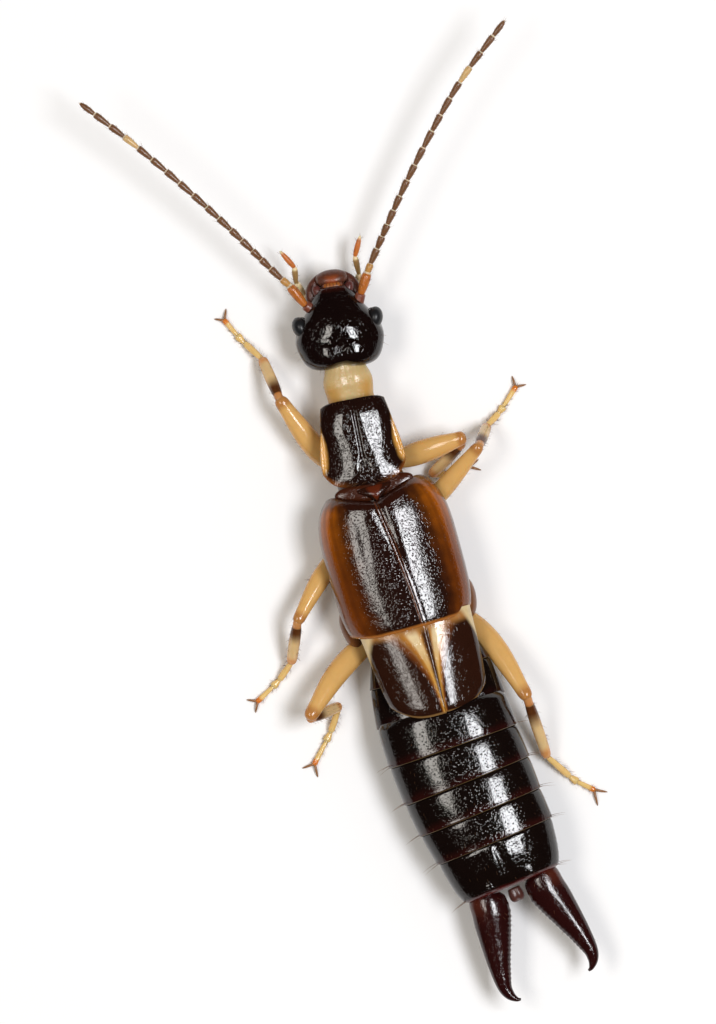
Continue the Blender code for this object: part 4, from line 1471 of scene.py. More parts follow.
def shield_fall(out, begins, ends):
    """How far the shield falls from its middle line to this far out."""
    past = out - begins
    fall = GENTLE * (past if past > EASE_IN else max(0.0, past + EASE_IN) ** 2 / (4.0 * EASE_IN))
    still_to_fall = SHIELD_DROP - GENTLE * (SHIELD_EDGE - begins)
    return fall + still_to_fall * (max(0.0, out - ends) / (SHIELD_EDGE - ends)) ** 2


def shield_point(across, along):
    """The shield's top, from -1 at its left edge to 1 at its right and from front to rear."""
    side = abs(across)
    front = 1.205 - 0.11 * side ** 6
    hind = -1.09 + 0.46 * side ** 5
    forward = front + (hind - front) * along
    aside = across * smooth_value(SHIELD_HALVES, along)
    half_side = 1 if across > 0.0 else -1
    begins = smooth_value(SLOPE_BEGINS[half_side], along)
    ends = smooth_value(SLOPE_ENDS[half_side], along)
    out = side * SHIELD_EDGE
    dome = 0.42 - shield_fall(out, begins, ends)
    turned_up = min(1.0, max(0.0, (along - 0.15) / 0.25))
    dome += 3.6 * turned_up * max(0.0, out - MARGIN_FROM) ** 2
    fore = max(0.0, (forward - 0.75) / 0.45)
    aft = max(0.0, (-forward - 0.65) / 0.45)
    height = 1.79 + dome - 0.10 * fore ** 2 - 0.06 * aft ** 2
    height -= 0.040 * hump(aside, 0.035) * (1.0 if forward > -0.45 else hump(forward + 0.45, 0.15))
    if forward < GROOVE_FORKS:
        spread = abs(aside) - (GROOVE_FORKS - forward) * 0.38
        height -= 0.024 * hump(spread, 0.04) * hump(forward + 0.45, 0.24)
    return Vector((aside, height, forward))


def plate(bm, surface, columns, rows, low=0.0):
    """A grid bent by surface(across, along), across from low to 1 and along from 0 to 1."""
    place = bm.verts.layers.float_vector[PLACE]
    bmesh.ops.create_grid(bm, x_segments=columns, y_segments=rows, size=0.5)
    for vert in bm.verts:
        across = low + (1.0 - low) * (vert.co.x + 0.5)
        along = vert.co.y + 0.5
        vert[place] = (across, 0.0, along)
        vert.co = surface(across, along)


form = new_form()
plate(form, shield_point, 72, 72, low=-1.0)
set_in(form, pronotum_axes)
finish_piece("shield", form, pronotum_finish, ("pronotum",), wall=0.07)

form = new_form()
rows = (
    (2.10, 0.60, 1.92, 2.02, 2.16),
    (2.02, 0.52, 1.94, 2.06, 2.22),
    (1.93, 0.38, 1.98, 2.10, 2.27),
    (1.83, 0.22, 2.02, 2.12, 2.28),
    (1.72, 0.10, 2.04, 2.12, 2.24),
    (1.62, 0.03, 2.06, 2.10, 2.16),
)
loft(form, finer(rows, 3), sides=40, square=2.0)
set_in(form, thorax_axes)
nodes = ("scutellum",)
finish_piece("scutellum_plate", form, scutellum_finish, nodes, levels=1)

look = Finish("hinge_plates", 0.16)
look.colour(rgb(62, 27, 12), 0.35, 3.0)
look.relief(6.0, 0.0020, 14.0, 0.0010, 0.36, 1.0, 0.14)
hinge_finish = look.material
form = new_form()
for side in (-1, 1):
    blob(form, (side * 0.46, 2.03, 1.98), (0.62, 0.10, 0.25), side * -8.0, sides=36)
set_in(form, thorax_axes)
finish_piece("hinge_plates", form, hinge_finish)

# %% [markdown]
# ## Wing cases
# The two short leathery cases meet in a line that wanders to the right, because the left one laps
# over the right. Each is a grid bent by one function, as the shield is. Their inner edges are
# raised in a fine bead. They don't mirror each other: the right one slopes evenly out from a
# raised middle, and the left one stays level, dips along the line where they meet and has a faint
# fold behind the shoulder.

# %% Wing cases
CASE_TOP = 2.55
CASE_EDGE = 1.45
CASE_HALF = 1.80
CASE_WIDEST = 0.2
LAP = 0.05


def suture_aside(forward):
    """Where the wing cases meet, to the right of the thorax's middle."""
    back = (1.65 - forward) / 3.45
    return -0.10 + 0.62 * back - 0.25 * back * back


def case_half_width(forward):
    """From the middle line to a case's outer edge."""
    reach, power = (2.12, 3.2) if forward > CASE_WIDEST else (2.50, 4.0)
    return CASE_HALF * rounded((forward - CASE_WIDEST) / reach, power)


def case_surface(side):
    def surface(across, along):
        spread = math.sin(across * math.pi / 2.0)
        front = 1.66 + 0.50 * spread - 0.13 * spread ** 9
        hind = -1.84 + 0.20 * spread ** 6
        forward = front + (hind - front) * along
        outer = side * case_half_width(forward)
        inner = suture_aside(forward) - side * (LAP if side < 0 else 0.0)
        aside = inner + (outer - inner) * spread
        fore = max(0.0, (forward - 1.25) / 0.95)
        top = CASE_TOP - 0.18 * fore ** 2 - 0.02 * max(0.0, -forward)
        height = CASE_EDGE + (top - CASE_EDGE) * rounded(min(1.0, abs(aside / outer)), 2.6)
        past = aside - inner
        if side > 0:
            ridge = min(1.0, along / 0.35)
            steepness = 0.09 + 0.05 * hump(along - 0.5, 0.35)
            out = min(past, 1.10)
            height += 0.050 + 0.035 * ridge - steepness * (out - out ** 3 / 3.63)
            height -= 0.085 * max(0.0, 1.0 - along / 0.60) * hump(past, 0.17)
            height -= 0.028 * hump(past, 0.12)
            height += 0.03 * hump(forward - 1.85, 0.25) * hump(past - 0.60, 0.30)
        else:
            level = 0.8 * hump(along - 0.45, 0.42)
            height += 0.075 * (hump(past, 1.40) * (1.0 - level) + level)
            dip = 0.36 - 0.52 * along if along > 0.1 else 0.31 * along / 0.1
            height -= 0.175 * max(0.0, dip + past)
        height += 0.018 * hump(past - side * 0.045, 0.030)
        height -= 0.16 * max(0.0, (0.07 - along) / 0.07) ** 2
        if side < 0:
            fold_at = side * (0.62 + 0.18 * along)
            height -= 0.012 * hump(aside - fold_at, 0.16) * hump(along - 0.30, 0.25)
        height -= 0.06 * max(0.0, (along - 0.94) / 0.06) ** 2 * 0.6
        return Vector((aside, height, forward))

    return surface


for side, word in SIDES:
    form = new_form()
    plate(form, case_surface(side), 64, 96)
    set_in(form, thorax_axes)
    nodes = (f"tegmen_{word}",)
    finish_piece(f"case_{word}", form, case_finish, nodes, wall=0.06)

# %% [markdown]
# ## Folded wing tips
# Behind the cases the leathery tips of the folded hind wings show. Each is dark with a fan of pale
# gold along the middle line. The hind wing itself is folded about forty times under here, and only
# this scale is ever seen on a standing animal, so only it is made.

# %% Folded wing tips
TIP_FRONT = -1.62
TIP_TOP = 2.52


def tip_surface(side):
    def surface(across, along):
        spread = math.sin(across * math.pi / 2.0)
        hind = -4.22 + 0.50 * spread ** 4
        forward = TIP_FRONT + (hind - TIP_FRONT) * along
        back = (-1.92 - forward) / 2.2
        middle = 0.10 + 0.09 * back
        wide = 1.50 - 0.16 * back - 0.14 * max(0.0, back) ** 4
        outer = middle + side * wide
        inner = 0.27 - 0.06 * back - side * (LAP if side < 0 else 0.0)
        aside = inner + (outer - inner) * spread
        level = 0.35 - 0.22 * along if side < 0 else 0.26 - 0.42 * along
        height = TIP_TOP - 0.09 * (1.0 - along) - 0.04 * back
        height -= 0.23 * max(0.0, abs(aside - middle) - level) ** 2
        if side > 0:
            height -= 0.026 * hump(aside - inner, 0.14)
        height -= 0.12 * max(0.0, (spread - 0.90) / 0.10) ** 2
        height -= 0.07 * max(0.0, (along - 0.90) / 0.10) ** 2
        return Vector((aside, height, forward))

    return surface


for side, word in SIDES:
    form = new_form()
    plate(form, tip_surface(side), 56, 64)
    set_in(form, thorax_axes)
    nodes = (f"wing_tip_{word}",)
    finish_piece(f"folded_tip_{word}", form, tip_finish, nodes, wall=0.05)

# %% [markdown]
# ## Belly rings
# Each belly ring is a band that opens toward the tail, and the next one comes out from under its
# edge, so the belly can lengthen. The back plate overhangs the belly plate at the sides, which is
# the step that catches light along the flank. One loft with a profile along its length makes a
# band. Its hind edge stands a little proud and turns in, and the next band starts inside it.

# %% Belly rings
# Where each ring begins, and where the last one ends: x, y, turn, half width, underside, top.
ABDOMEN_RINGS = (
    (0.80, 2.98, 0.0, 1.30, 0.98, 1.78),
    (0.79, 4.05, -0.6, 1.66, 0.62, 1.84),
    (0.77, 5.09, -1.2, 1.775, 0.52, 2.42),
    (0.71, 6.07, -4.1, 1.795, 0.50, 2.45),
    (0.60, 7.05, -6.6, 1.78, 0.52, 2.45),
    (0.48, 7.94, -7.0, 1.725, 0.56, 2.44),
    (0.31, 8.78, -7.5, 1.645, 0.62, 2.39),
    (0.18, 10.03, -7.0, 1.30, 0.78, 2.08),
)
UNDER_WINGS = 2
UNDER_WINGS_TOP = 1.86
# Along a band: share of its length, and how far its surface is tucked in.
BAND = (
    (-0.12, 0.12),
    (-0.04, 0.060),
    (0.03, 0.024),
    (0.10, 0.012),
    (0.25, 0.002),
    (0.50, -0.006),
    (0.75, -0.010),
    (0.90, -0.010),
    (0.955, -0.014),
    (0.98, -0.006),
    (0.985, 0.010),
    (0.96, 0.040),
)
LAST_BAND = (
    (-0.10, 0.12),
    (-0.03, 0.07),
    (0.03, 0.03),
    (0.10, 0.005),
    (0.22, -0.015),
    (0.40, -0.045),
    (0.58, -0.065),
    (0.74, -0.070),
    (0.86, -0.055),
    (0.93, -0.030),
    (0.97, 0.02),
    (0.985, 0.07),
    (0.97, 0.14),
)
WRINKLES = 2.0 * math.pi / 0.056


def ring_shape(last):
    """Flanks drawn in under the back plate and, on the last ring, groove, ridges and bumps."""

    def shape(point, x, y, along):
        if y < 0.0:
            point.x *= 0.955
        point.x *= 1.0 - 0.03 * (hump(y + 0.10, 0.10) * abs(x) ** 3)
        if last and y > 0.0:
            out = abs(point.x)
            point.y -= 0.060 * hump(point.x, 0.07) * hump(along - 0.40, 0.40)
            point.y += 0.030 * hump(out - 0.20, 0.10) * hump(along - 0.35, 0.30)
            bumps = hump(out - 0.62, 0.20) * hump(along - 0.86, 0.10)
            point.y += bumps * (0.055 + 0.012 * math.sin(along * WRINKLES))
            point.y -= 0.04 * hump(point.x, 0.35) * hump(along - 0.92, 0.10)
            point.y -= 0.02 * hump(out - 0.36, 0.10) * hump(along - 0.88, 0.10)
        return point

    return shape


for index, (front, rear) in enumerate(zip(ABDOMEN_RINGS, ABDOMEN_RINGS[1:])):
    last = index == len(ABDOMEN_RINGS) - 2
    form = new_form()
    loops = []
    for share, tuck in finer(LAST_BAND if last else BAND, 6 if last else 3):
        x, y, turn, half_width, low, top = (a + (b - a) * share for a, b in zip(front, rear))
        if index < UNDER_WINGS:
            top = UNDER_WINGS_TOP + 0.02 * share
        waist = low + 0.46 * (top - low)
        matrix = region((x, y), turn) @ Matrix.Translation((0.0, waist, 0.0))
        sizes = (half_width - tuck, top - tuck - waist, waist - low - tuck * 0.8)
        loops.append(add_ring(form, matrix, sizes, share, 120, 2.3, ring_shape(last)))
    skin_over(form, loops)
    number = "last" if last else index + 1
    material = last_finish if last else ring_finish
    nodes = (f"abdomen_{number}",)
    finish_piece(f"belly_{number}", form, material, nodes)

# %% [markdown]
# ## Forceps
# The two arms are hard, hollow pincers. They are broad at the root, bow gently outward and hook in
# at the tips. The inner edge is scalloped and the outer side is smooth. An arm is one limb whose
# ring is drawn in toward the inner edge, where the teeth stand out.

# %% Forceps
FORCEPS_HALF_WIDTH = 0.50
FORCEPS_ASIDE = -0.06
# Each row: aside, forward, up, share of the half width, half height.
FORCEPS_COURSE = (
    (0.76, 0.20, 1.34, 0.80, 0.34),
    (0.78, 0.06, 1.34, 0.98, 0.37),
    (0.80, -0.25, 1.34, 1.02, 0.38),
    (0.89, -0.60, 1.33, 0.96, 0.35),
    (1.03, -1.15, 1.31, 0.78, 0.29),
    (1.16, -1.70, 1.30, 0.58, 0.23),
    (1.24, -2.20, 1.30, 0.40, 0.17),
    (1.20, -2.48, 1.31, 0.28, 0.12),
    (1.08, -2.66, 1.32, 0.14, 0.07),
    (0.97, -2.71, 1.33, 0.06, 0.03),
)
TEETH_PER_MM = 8.0
TOOTH = 0.026

for side, word in SIDES:
    form = new_form()
    rows = finer(FORCEPS_COURSE, 18)
    loops = []
    length = rows[0][1] - rows[-1][1]
    for index, (aside, forward, up, share, half_height) in enumerate(rows):
        centre = Vector((side * aside + FORCEPS_ASIDE, up, forward))
        near = rows[max(index - 1, 0)]
        far = rows[min(index + 1, len(rows) - 1)]
        course = Vector((side * (far[0] - near[0]), far[2] - near[2], far[1] - near[1]))
        matrix = ring_axes(tail_axes @ centre, tail_axes.to_3x3() @ course)
        along = (rows[0][1] - forward) / length
        ring_right = matrix.to_3x3() @ Vector((1.0, 0.0, 0.0))
        inner_x = -1.0 if ring_right.dot(tail_axes.col[0].xyz) * side > 0 else 1.0
        toothed = min(1.0, max(0.0, (0.86 - along) / 0.10))
        toothed *= min(1.0, max(0.0, (along - 0.10) / 0.08))
        tooth = TOOTH * toothed * (0.5 - 0.5 * math.cos(2.0 * math.pi * TEETH_PER_MM * forward))

        def arm_shape(point, x, y, along, inner_x=inner_x, tooth=tooth):
            point.x += inner_x * tooth * max(0.0, x * inner_x) ** 8
            return point

        sizes = (FORCEPS_HALF_WIDTH * share, half_height, half_height)
        start = len(form.verts)
        loops.append(add_ring(form, matrix, sizes, along, 56, 2.0, arm_shape))
        form.verts.ensure_lookup_table()
        place = form.verts.layers.float_vector[PLACE]
        for vert in form.verts[start:]:
            vert[place].x *= -inner_x
    skin_over(form, loops)
    nodes = (f"forceps_{word}",)
    finish_piece(f"pincer_{word}", form, forceps_finish, nodes, levels=1)

form = new_form()
rows = (
    (0.10, 0.17, 1.02, 1.24, 1.44),
    (-0.05, 0.20, 1.04, 1.24, 1.45),
    (-0.18, 0.20, 1.05, 1.24, 1.43),
    (-0.27, 0.15, 1.10, 1.24, 1.37),
    (-0.30, 0.07, 1.16, 1.24, 1.31),
)


def knob_shape(point, x, y, along):
    point.z += 0.05 * hump(point.x, 0.05) * hump(along + 0.30, 0.10)
    point.y -= 0.03 * hump(point.x, 0.045) * (1.0 if y > 0.0 else 0.0)
    return point + Vector((FORCEPS_ASIDE, 0.0, 0.0))


loft(form, finer(rows, 3), sides=36, square=2.3, shape=knob_shape)
set_in(form, tail_axes)
look = Finish("tail_knob", 0.3)
look.colour(rgb(78, 44, 38), 0.3, 6.0)
look.relief(14.0, 0.003, 20.0, 0.0)
knob_finish = look.material
finish_piece("tail_knob", form, knob_finish, ("pygidium",), levels=1)

# %% [markdown]
# ## Legs
# Six honey-coloured legs carry the body. Each has a stout coxa that points outward, a small
# trochanter, a flattened femur swollen before its middle, a slender tibia and a foot of three
# joints: a long one with a comb of short bristles under it, a small heart-shaped one, and a slender
# one with two claws. Each part is a limb with its own profile. Neighbouring parts reach into each
# other as real joints do, so no gap opens at a knee.

# %% Leg joints
FOOT_HEIGHTS = (0.115, 0.100, 0.105)
LOWEST = 0.002
CLAW_STEPS = 12
CLAW_HALF = 0.040
LEGS = {
    "front_left": {
        "root": (1.35, -1.62, 0.56),
        "hip": (1.74, -1.86, 0.60),
        "thigh": (2.22, -2.76, 0.98),
        "knee": (2.68, -4.02, 1.36),
        "ankle": (2.85, -5.20, 0.42),
        "foot": ((3.20, -5.76), (3.32, -5.98), (3.56, -6.50)),
        "claws": ((3.80, -6.58), (3.42, -6.76)),
        "femur": 0.31,
    },
    "front_right": {
        "root": (0.78, -1.62, 0.56),
        "hip": (0.36, -1.64, 0.60),
        "thigh": (-0.76, -1.70, 1.04),
        "knee": (-1.74, -1.76, 1.32),
        "fold": (0.06, 0.14, -0.20),
        "ankle": (-0.66, -1.04, 0.38),
        "foot": ((-1.18, -0.90), (-1.36, -0.91), (-1.72, -0.98)),
        "claws": ((-1.99, -1.10), (-1.98, -0.80)),
        "femur": 0.32,
    },
    "middle_left": {
        "root": (1.45, 0.10, 0.56),
        "hip": (1.95, 0.16, 0.60),
        "thigh": (2.86, 0.78, 1.00),
        "knee": (3.80, 1.76, 1.36),
        "ankle": (4.26, 2.78, 0.42),
        "foot": ((4.70, 3.15), (4.90, 3.27), (5.44, 3.56)),
        "claws": ((5.68, 3.42), (5.54, 3.82)),
        "femur": 0.27,
    },
    "middle_right": {
        "root": (0.45, 0.05, 0.56),
        "hip": (0.04, -0.02, 0.60),
        "thigh": (-0.96, -0.66, 1.28),
        "knee": (-2.06, -1.42, 1.86),
        "ankle": (-2.42, -1.88, 0.46),
        "foot": ((-2.84, -2.15), (-2.99, -2.27), (-3.48, -2.72)),
        "claws": ((-3.44, -3.00), (-3.74, -2.68)),
        "femur": 0.27,
    },
    "hind_left": {
        "root": (1.35, 2.42, 0.56),
        "hip": (1.84, 2.66, 0.60),
        "thigh": (3.05, 3.28, 1.22),
        "knee": (4.16, 4.28, 1.74),
        "fold": (0.03, 0.06, -0.22),
        "ankle": (3.34, 4.24, 0.42),
        "foot": ((3.76, 4.86), (3.92, 5.04), (4.42, 5.58)),
        "claws": ((4.74, 5.58), (4.40, 5.92)),
        "femur": 0.32,
    },
    "hind_right": {
        "root": (0.20, 2.30, 0.56),
        "hip": (-0.34, 2.52, 0.58),
        "thigh": (-1.05, 3.76, 1.10),
        "knee": (-1.52, 5.30, 1.60),
        "ankle": (-1.62, 7.00, 0.46),
        "foot": ((-2.08, 7.70), (-2.22, 7.87), (-2.62, 8.22)),
        "claws": ((-2.93, 8.36), (-2.58, 8.64)),
        "femur": 0.31,
    },
}
# Along a part: the share of its length, and the share of its full half width.
COXA = (
    (-0.15, 0.70),
    (0.0, 0.95),
    (0.3, 1.05),
    (0.6, 1.0),
    (0.85, 0.78),
    (0.97, 0.55),
    (1.0, 0.30),
)
TROCHANTER = (
    (-0.10, 0.40),
    (-0.04, 0.72),
    (0.03, 0.80),
    (0.09, 0.74),
    (0.13, 0.60),
    (0.16, 0.35),
)
FEMUR = (
    (0.03, 0.30),
    (0.06, 0.52),
    (0.12, 0.72),
    (0.22, 0.92),
    (0.34, 1.0),
    (0.50, 0.99),
    (0.66, 0.90),
    (0.80, 0.76),
    (0.88, 0.66),
    (0.93, 0.64),
    (0.98, 0.62),
    (1.015, 0.46),
    (1.03, 0.20),
)
TIBIA_HALF = 0.155
TIBIA = (
    (-0.04, 0.30),
    (-0.01, 0.62),
    (0.03, 0.80),
    (0.07, 0.76),
    (0.11, 0.74),
    (0.18, 0.90),
    (0.35, 1.0),
    (0.60, 1.0),
    (0.80, 0.97),
    (0.92, 0.92),
    (0.97, 0.84),
    (1.01, 0.60),
    (1.02, 0.30),
)
FIRST_JOINT = (
    (-0.06, 0.50),
    (0.0, 0.72),
    (0.10, 0.82),
    (0.45, 0.95),
    (0.80, 1.02),
    (0.93, 0.92),
    (1.0, 0.55),
)
HEART = (
    (-0.25, 0.40),
    (0.0, 0.62),
    (0.35, 0.85),
    (0.75, 1.18),
    (1.02, 1.10),
    (1.12, 0.60),
)
TOE = (
    (-0.12, 0.40),
    (0.0, 0.58),
    (0.20, 0.66),
    (0.60, 0.72),
    (0.85, 0.84),
    (0.95, 0.80),
    (1.0, 0.50),
)
FOOT_HALF = 0.094


def part_rings(course, profile, half_width, flatness, number):
    """Rings of one leg part. The profile may reach a little past either end of the course."""
    rings = []
    for t, share in profile:
        inside = min(1.0, max(0.0, t))
        centre = smooth_point(course, inside)
        if t != inside:
            edge = smooth_point(course, 0.97 if t > 1.0 else 0.03)
            length = (course[-1] - course[0]).length
            centre = centre + (centre - edge).normalized() * abs(t - inside) * length
        along = number + min(0.995, max(0.0, t))
        rings.append((centre, half_width * share, half_width * share * flatness, along))
    return rings


def finish_leg(name, form, material, replaced=()):
    """Presses the soles flat just above the floor, then finishes the piece."""
    for vert in form.verts:
        vert.co.z = max(vert.co.z, LOWEST)
    finish_piece(name, form, material, replaced, levels=1)


def leg_piece(kind, word, parts):
    form = new_form()
    for rings in parts:
        limb(form, rings, sides=28, square=2.1)
    finish_leg(f"{kind}_of_{word}", form, leg_finish, (f"{kind}_{word}",))


for word, leg in LEGS.items():
    joints = ("root", "hip", "thigh", "knee", "ankle")
    root, hip, thigh, knee, ankle = (Vector(leg[joint]) for joint in joints)
    foot = [Vector((x, y, z)) for (x, y), z in zip(leg["foot"], FOOT_HEIGHTS)]
    fold = Vector(leg.get("fold", (0.0, 0.0, 0.0)))
    inner = root - (hip - root) * 0.35 + Vector((0.0, 0.0, 0.10))
    coxa = part_rings((inner, root, hip), COXA, 0.24, 0.72, 0)
    hinge = part_rings((hip, thigh), TROCHANTER, 0.205, 0.80, 0)
    leg_piece("coxa", word, (coxa, hinge))
    femur = part_rings((hip, thigh, knee), FEMUR, leg["femur"], 0.80, 1)
    leg_piece("femur", word, (femur,))
    tibia = part_rings((knee + fold, ankle), TIBIA, TIBIA_HALF, 0.94, 2)
    leg_piece("tibia", word, (tibia,))
    heel = ankle + (foot[0] - ankle) * 0.02
    first = part_rings((heel, foot[0]), FIRST_JOINT, FOOT_HALF, 0.95, 3)
    heart = part_rings((foot[0], foot[1]), HEART, FOOT_HALF, 0.85, 4)
    toe = part_rings((foot[1] + Vector((0.0, 0.0, 0.01)), foot[2]), TOE, FOOT_HALF, 0.95, 5)
    leg_piece("tarsus", word, (first, heart, toe))

    form = new_form()
    for x, y in leg["claws"]:
        start = foot[1].lerp(foot[2], 0.93) - Vector((0.0, 0.0, 0.01))
        tip = Vector((x, y, 0.018))
        level = start.lerp(tip, 0.5) + Vector((0.0, 0.0, 0.055))
        near = start.lerp(tip, 0.85) + Vector((0.0, 0.0, 0.028))
        rows = []
        for step in range(CLAW_STEPS + 1):
            t = step / CLAW_STEPS
            half = CLAW_HALF * (1.0 - 0.86 * t ** 1.6)
            rows.append((smooth_point((start, level, near, tip), t), half, half, t))
        limb(form, rows, sides=14)
    finish_leg(f"claws_of_{word}", form, claw_finish)

# %% [markdown]
# ## Bristles
# An earwig looks bare at arm's length but carries fine hairs: a row of long ones at the sides of
# each belly ring, a close down on the feelers, and short stiff ones on legs, palps and the head's
# edges. Each hair is a thin bent cone, copied onto points that are picked at random on the
# finished pieces. Real particles would leave nothing behind in a mesh, so the copies are real
# faces, each with its own tiny patch of the map, laid at its root's place.

# %% One hair
HAIR_SPANS = 4
HAIR_SIDES = 4
PATCH = 0.003

template_form = bmesh.new()
bmesh.ops.create_cone(
    template_form,
    cap_ends=True,
    segments=HAIR_SIDES,
    radius1=1.0,
    radius2=0.12,
    depth=1.0,
    matrix=Matrix.Translation((0.0, 0.0, 0.5)),
)
for span in range(1, HAIR_SPANS):
    bmesh.ops.bisect_plane(
        template_form,
        geom=template_form.verts[:] + template_form.edges[:] + template_form.faces[:],
        plane_co=(0.0, 0.0, span / HAIR_SPANS),
        plane_no=(0.0, 0.0, 1.0),
    )
template = bpy.data.meshes.new("hair_template")
template_form.to_mesh(template)
template_form.free()


def roots_on(name, count, wanted, rng):
    """Random roots on a piece where wanted says so: point in millimetres, normal and place."""
    mesh = bpy.data.objects[name].data
    places = mesh.attributes[PLACE].data
    polygons = mesh.polygons
    totals = []
    total = 0.0
    for polygon in polygons:
        total += polygon.area
        totals.append(total)
    found = []
    for attempt in range(4000 + count * 60):
        if len(found) >= count:
            break
        target = rng.random() * total
        polygon = polygons[bisect.bisect_left(totals, target, 0, len(totals) - 1)]
        shares = [rng.random() + 0.05 for index in polygon.vertices]
        whole = sum(shares)
        point = Vector()
        spot = Vector()
        for index, share in zip(polygon.vertices, shares):
            point += mesh.vertices[index].co * (share / whole)
            spot += Vector(places[index].vector) * (share / whole)
        point = point / MM
        if wanted(point, polygon.normal, spot):
            found.append((point, polygon.normal.copy(), spot))
    return found


def grow(name, hairs):
    """One piece from hairs. A hair is: root, direction, bend, length, half thickness, uv."""
    bm = bmesh.new()
    place = bm.verts.layers.float_vector.new(PLACE)
    uv = bm.loops.layers.uv.new("OFBake")
    for root, direction, bend, length, half, spot in hairs:
        first = len(bm.verts)
        first_face = len(bm.faces)
        bm.from_mesh(template)
        bm.verts.ensure_lookup_table()
        bm.faces.ensure_lookup_table()
        direction = direction.normalized()
        aside = direction.orthogonal().normalized()
        up = direction.cross(aside)
        for vert in bm.verts[first:]:
            x, y, t = vert.co
            vert[place] = (x, y, t)
            point = root + (aside * x + up * y) * half + direction * (length * t)
            vert.co = point + bend * (length * t * t)
        for face in bm.faces[first_face:]:
            for loop in face.loops:
                x, y, t = loop.vert[place]
                loop[uv].uv = (spot[0] + PATCH * (0.5 + 0.5 * x), spot[1] + PATCH * t)
    bmesh.ops.scale(bm, vec=(MM, MM, MM), verts=bm.verts[:])
    mesh = bpy.data.meshes.new(name)
    bm.to_mesh(mesh)
    bm.free()
    mesh.shade_smooth()
    mesh.materials.append(bristle_finish)
    piece = bpy.data.objects.new(name, mesh)
    bpy.context.scene.collection.objects.link(piece)
    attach(piece, "root")
    print(name, len(hairs), "hairs,", len(mesh.polygons), "faces")


def map_place(spot, low=0.0, high=1.0):
    """A root's spot on the map: round the piece and along it."""
    around = 0.5 + math.atan2(spot.y, spot.x) / (2.0 * math.pi)
    along = min(1.0, max(0.0, (spot.z - low) / (high - low)))
    return tuple(0.01 + 0.98 * share * 0.99 for share in (around, along))


def bend_toward(normal, along, lean):
    """A hair's direction that leans from the normal toward along."""
    flat = along - normal * along.dot(normal)
    return (normal * (1.0 - lean) + flat * lean).normalized()


# %% Down on the feelers and palps
DOWN_HALF = 0.0035
DOWN_ROOT = 0.006
FEELER_HAIRS = 900
PALP_HAIRS = 110

rng = random.Random(7)
for word, course in FEELERS.items():
    toward = Vector(course[-1]) - Vector(course[2])
    toward.normalize()
    hairs = []
    roots = roots_on(f"feeler_{word}", FEELER_HAIRS, lambda p, n, s: s.z > 0.15, rng)
    for point, normal, spot in roots:
        near_joint_end = spot.z % 1.0 > 0.74
        longer = near_joint_end and rng.random() < 0.35
        length = rng.uniform(0.10, 0.17) if longer else rng.uniform(0.05, 0.09)
        direction = bend_toward(normal, toward, rng.uniform(0.45, 0.70))
        on_map = map_place(spot, 0.0, 18.0)
        root = point - normal * DOWN_ROOT
        hairs.append((root, direction, toward * 0.12, length, DOWN_HALF, on_map))
    grow(f"down_of_feeler_{word}", hairs)

head_right = head_axes.col[0].xyz
head_ahead = head_axes.col[2].xyz
hairs = []
for word in PALPS:
    roots = roots_on(f"{word}_palp", PALP_HAIRS, lambda p, n, s: s.z > 0.6, rng)
    for point, normal, spot in roots:
        direction = bend_toward(normal, head_ahead, rng.uniform(0.3, 0.6))
        length = rng.uniform(0.06, 0.14)
        on_map = map_place(spot, 0.0, 4.0)
        root = point - normal * DOWN_ROOT
        hairs.append((root, direction, head_ahead * 0.1, length, DOWN_HALF, on_map))
grow("palp_bristles", hairs)

# %% Hairs of the head and the shield
# Each long hair of the mouth: aside, up, forward, length.
MOUTH_HAIRS = ((0.34, 1.55, 1.10, 0.22), (0.18, 1.56, 1.18, 0.20), (0.28, 1.66, 0.86, 0.20))
SHORT_HALF = 0.004

hairs = []
for point, normal, spot in roots_on("head", 34, lambda p, n, s: s.y > -0.4 and n.z < 0.6, rng):
    ahead = head_ahead if spot.z > 0.0 else head_ahead * -0.4
    direction = bend_toward(normal, ahead + straight_up * 0.2, rng.uniform(0.2, 0.5))
    length = rng.uniform(0.08, 0.20)
    on_map = map_place(spot, -1.4, 0.9)
    hairs.append((point - normal * 0.01, direction, ahead * 0.15, length, SHORT_HALF, on_map))
for side, word in SIDES:
    for aside, up, forward, length in MOUTH_HAIRS:
        root = head_axes @ Vector((side * aside, up, forward))
        direction = (head_ahead + straight_up * 0.6 + head_right * side * 0.35).normalized()
        on_map = (0.5 + side * aside * 0.3, 0.9)
        hairs.append((root, direction, head_ahead * 0.1, length, 0.005, on_map))
grow("head_bristles", hairs)

hairs = []
shield_back = pronotum_axes.col[2].xyz * -1.0


def on_shield_edge(point, normal, spot):
    return abs(spot.x) > 0.93 or spot.z < 0.04 or spot.z > 0.95


for point, normal, spot in roots_on("shield", 110, on_shield_edge, rng):
    outward = pronotum_axes.col[0].xyz * math.copysign(1.0, spot.x)
    if spot.z < 0.04:
        outward = shield_back * -1.0
    direction = bend_toward(straight_up, outward + shield_back * 0.5, rng.uniform(0.4, 0.7))
    length = rng.uniform(0.08, 0.18)
    on_map = (0.5 + 0.45 * spot.x, 0.02 + 0.95 * spot.z)
    hairs.append((point, direction, shield_back * 0.1, length, SHORT_HALF, on_map))
grow("shield_bristles", hairs)

# %% Hairs of the belly and the pincers
FIRST_BARE_RING = 3
# Each long hair at a ring's edge: height on the ring, length.
EDGE_HAIRS = ((0.18, 0.42), (-0.12, 0.50), (0.42, 0.30))


def on_ring(point, normal, spot):
    return spot.y > -0.3 and 0.2 < spot.z < 0.93


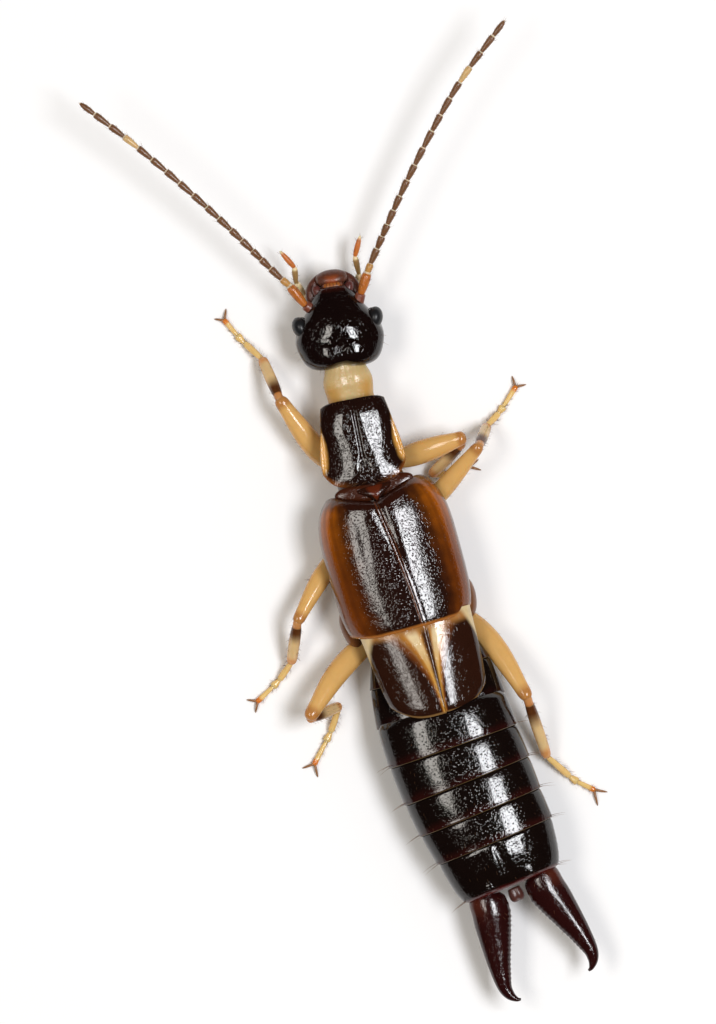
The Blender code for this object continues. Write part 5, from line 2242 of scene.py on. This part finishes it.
hairs = []
for index in range(FIRST_BARE_RING, len(ABDOMEN_RINGS)):
    name = "belly_last" if index == len(ABDOMEN_RINGS) - 1 else f"belly_{index}"
    turn = math.radians(ABDOMEN_RINGS[index][2])
    back = Vector((math.sin(turn), math.cos(turn), 0.0))
    right = Vector((-math.cos(turn), math.sin(turn), 0.0))
    for point, normal, spot in roots_on(name, 26, on_ring, rng):
        direction = bend_toward(normal, back, rng.uniform(0.45, 0.7))
        length = rng.uniform(0.05, 0.11)
        root = point - normal * 0.004
        hairs.append((root, direction, back * 0.1, length, 0.003, map_place(spot)))
    for side, word in SIDES:
        for height, reach in EDGE_HAIRS:

            def at_edge(point, normal, spot, side=side, height=height):
                return spot.x * side > 0.3 and abs(spot.y - height) < 0.10 and 0.90 < spot.z < 0.955

            for point, normal, spot in roots_on(name, 1, at_edge, rng):
                outward = right * side + back * rng.uniform(0.0, 0.25)
                direction = (outward + straight_up * 0.15).normalized()
                length = reach * rng.uniform(0.85, 1.1)
                root = point - normal * 0.01
                hairs.append((root, direction, back * 0.10, length, 0.009, map_place(spot)))
grow("belly_bristles", hairs)

hairs = []
back = tail_axes.col[2].xyz * -1.0
for side, word in SIDES:
    for point, normal, spot in roots_on(f"pincer_{word}", 70, lambda p, n, s: s.z < 0.8, rng):
        direction = bend_toward(normal, back, rng.uniform(0.3, 0.6))
        length = rng.uniform(0.06, 0.14)
        root = point - normal * DOWN_ROOT
        hairs.append((root, direction, back * 0.1, length, DOWN_HALF, map_place(spot)))
grow("pincer_bristles", hairs)

# %% Hairs of the legs
# Each part of a leg: how many hairs, and the first and last number that its z counts.
LEG_HAIRS = {"femur": (60, 1.0, 2.0), "tibia": (90, 2.0, 3.0), "tarsus": (110, 3.0, 6.0)}
LEG_HAIR_HALF = 0.0042


def beside_leg(point, normal, spot):
    return point.z > 0.04 and normal.z < 0.62


for word, leg in LEGS.items():
    hairs = []
    toe_end = (*leg["foot"][2], 0.1)
    joints = [Vector(end) for end in (leg["hip"], leg["knee"], leg["ankle"], toe_end)]
    for (kind, (count, low, high)), starts, ends in zip(LEG_HAIRS.items(), joints, joints[1:]):
        along = (ends - starts).normalized()
        for point, normal, spot in roots_on(f"{kind}_of_{word}", count, beside_leg, rng):
            length = rng.uniform(0.08, 0.15)
            if kind == "tarsus" and spot.z < 4.0 and normal.z < 0.3:
                length = rng.uniform(0.10, 0.17)
            direction = bend_toward(normal, along, rng.uniform(0.35, 0.6))
            if point.z + length * direction.z < 0.01:
                continue
            on_map = map_place(spot, low, high)
            root = point - normal * 0.004
            hairs.append((root, direction, along * 0.08, length, LEG_HAIR_HALF, on_map))
    grow(f"hairs_of_{word}", hairs)

# %% [markdown]
# ## Finish
# The sizes before and after are kept as plain numbers, so that the finished look can be compared
# with the solids. Then the frame takes every piece.

# %% Finish
low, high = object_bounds()
{"solids": [list(cad_low), list(cad_high)], "finished": [list(low), list(high)]}
print("finished box in mm:", [round(v / MM, 2) for v in high - low])
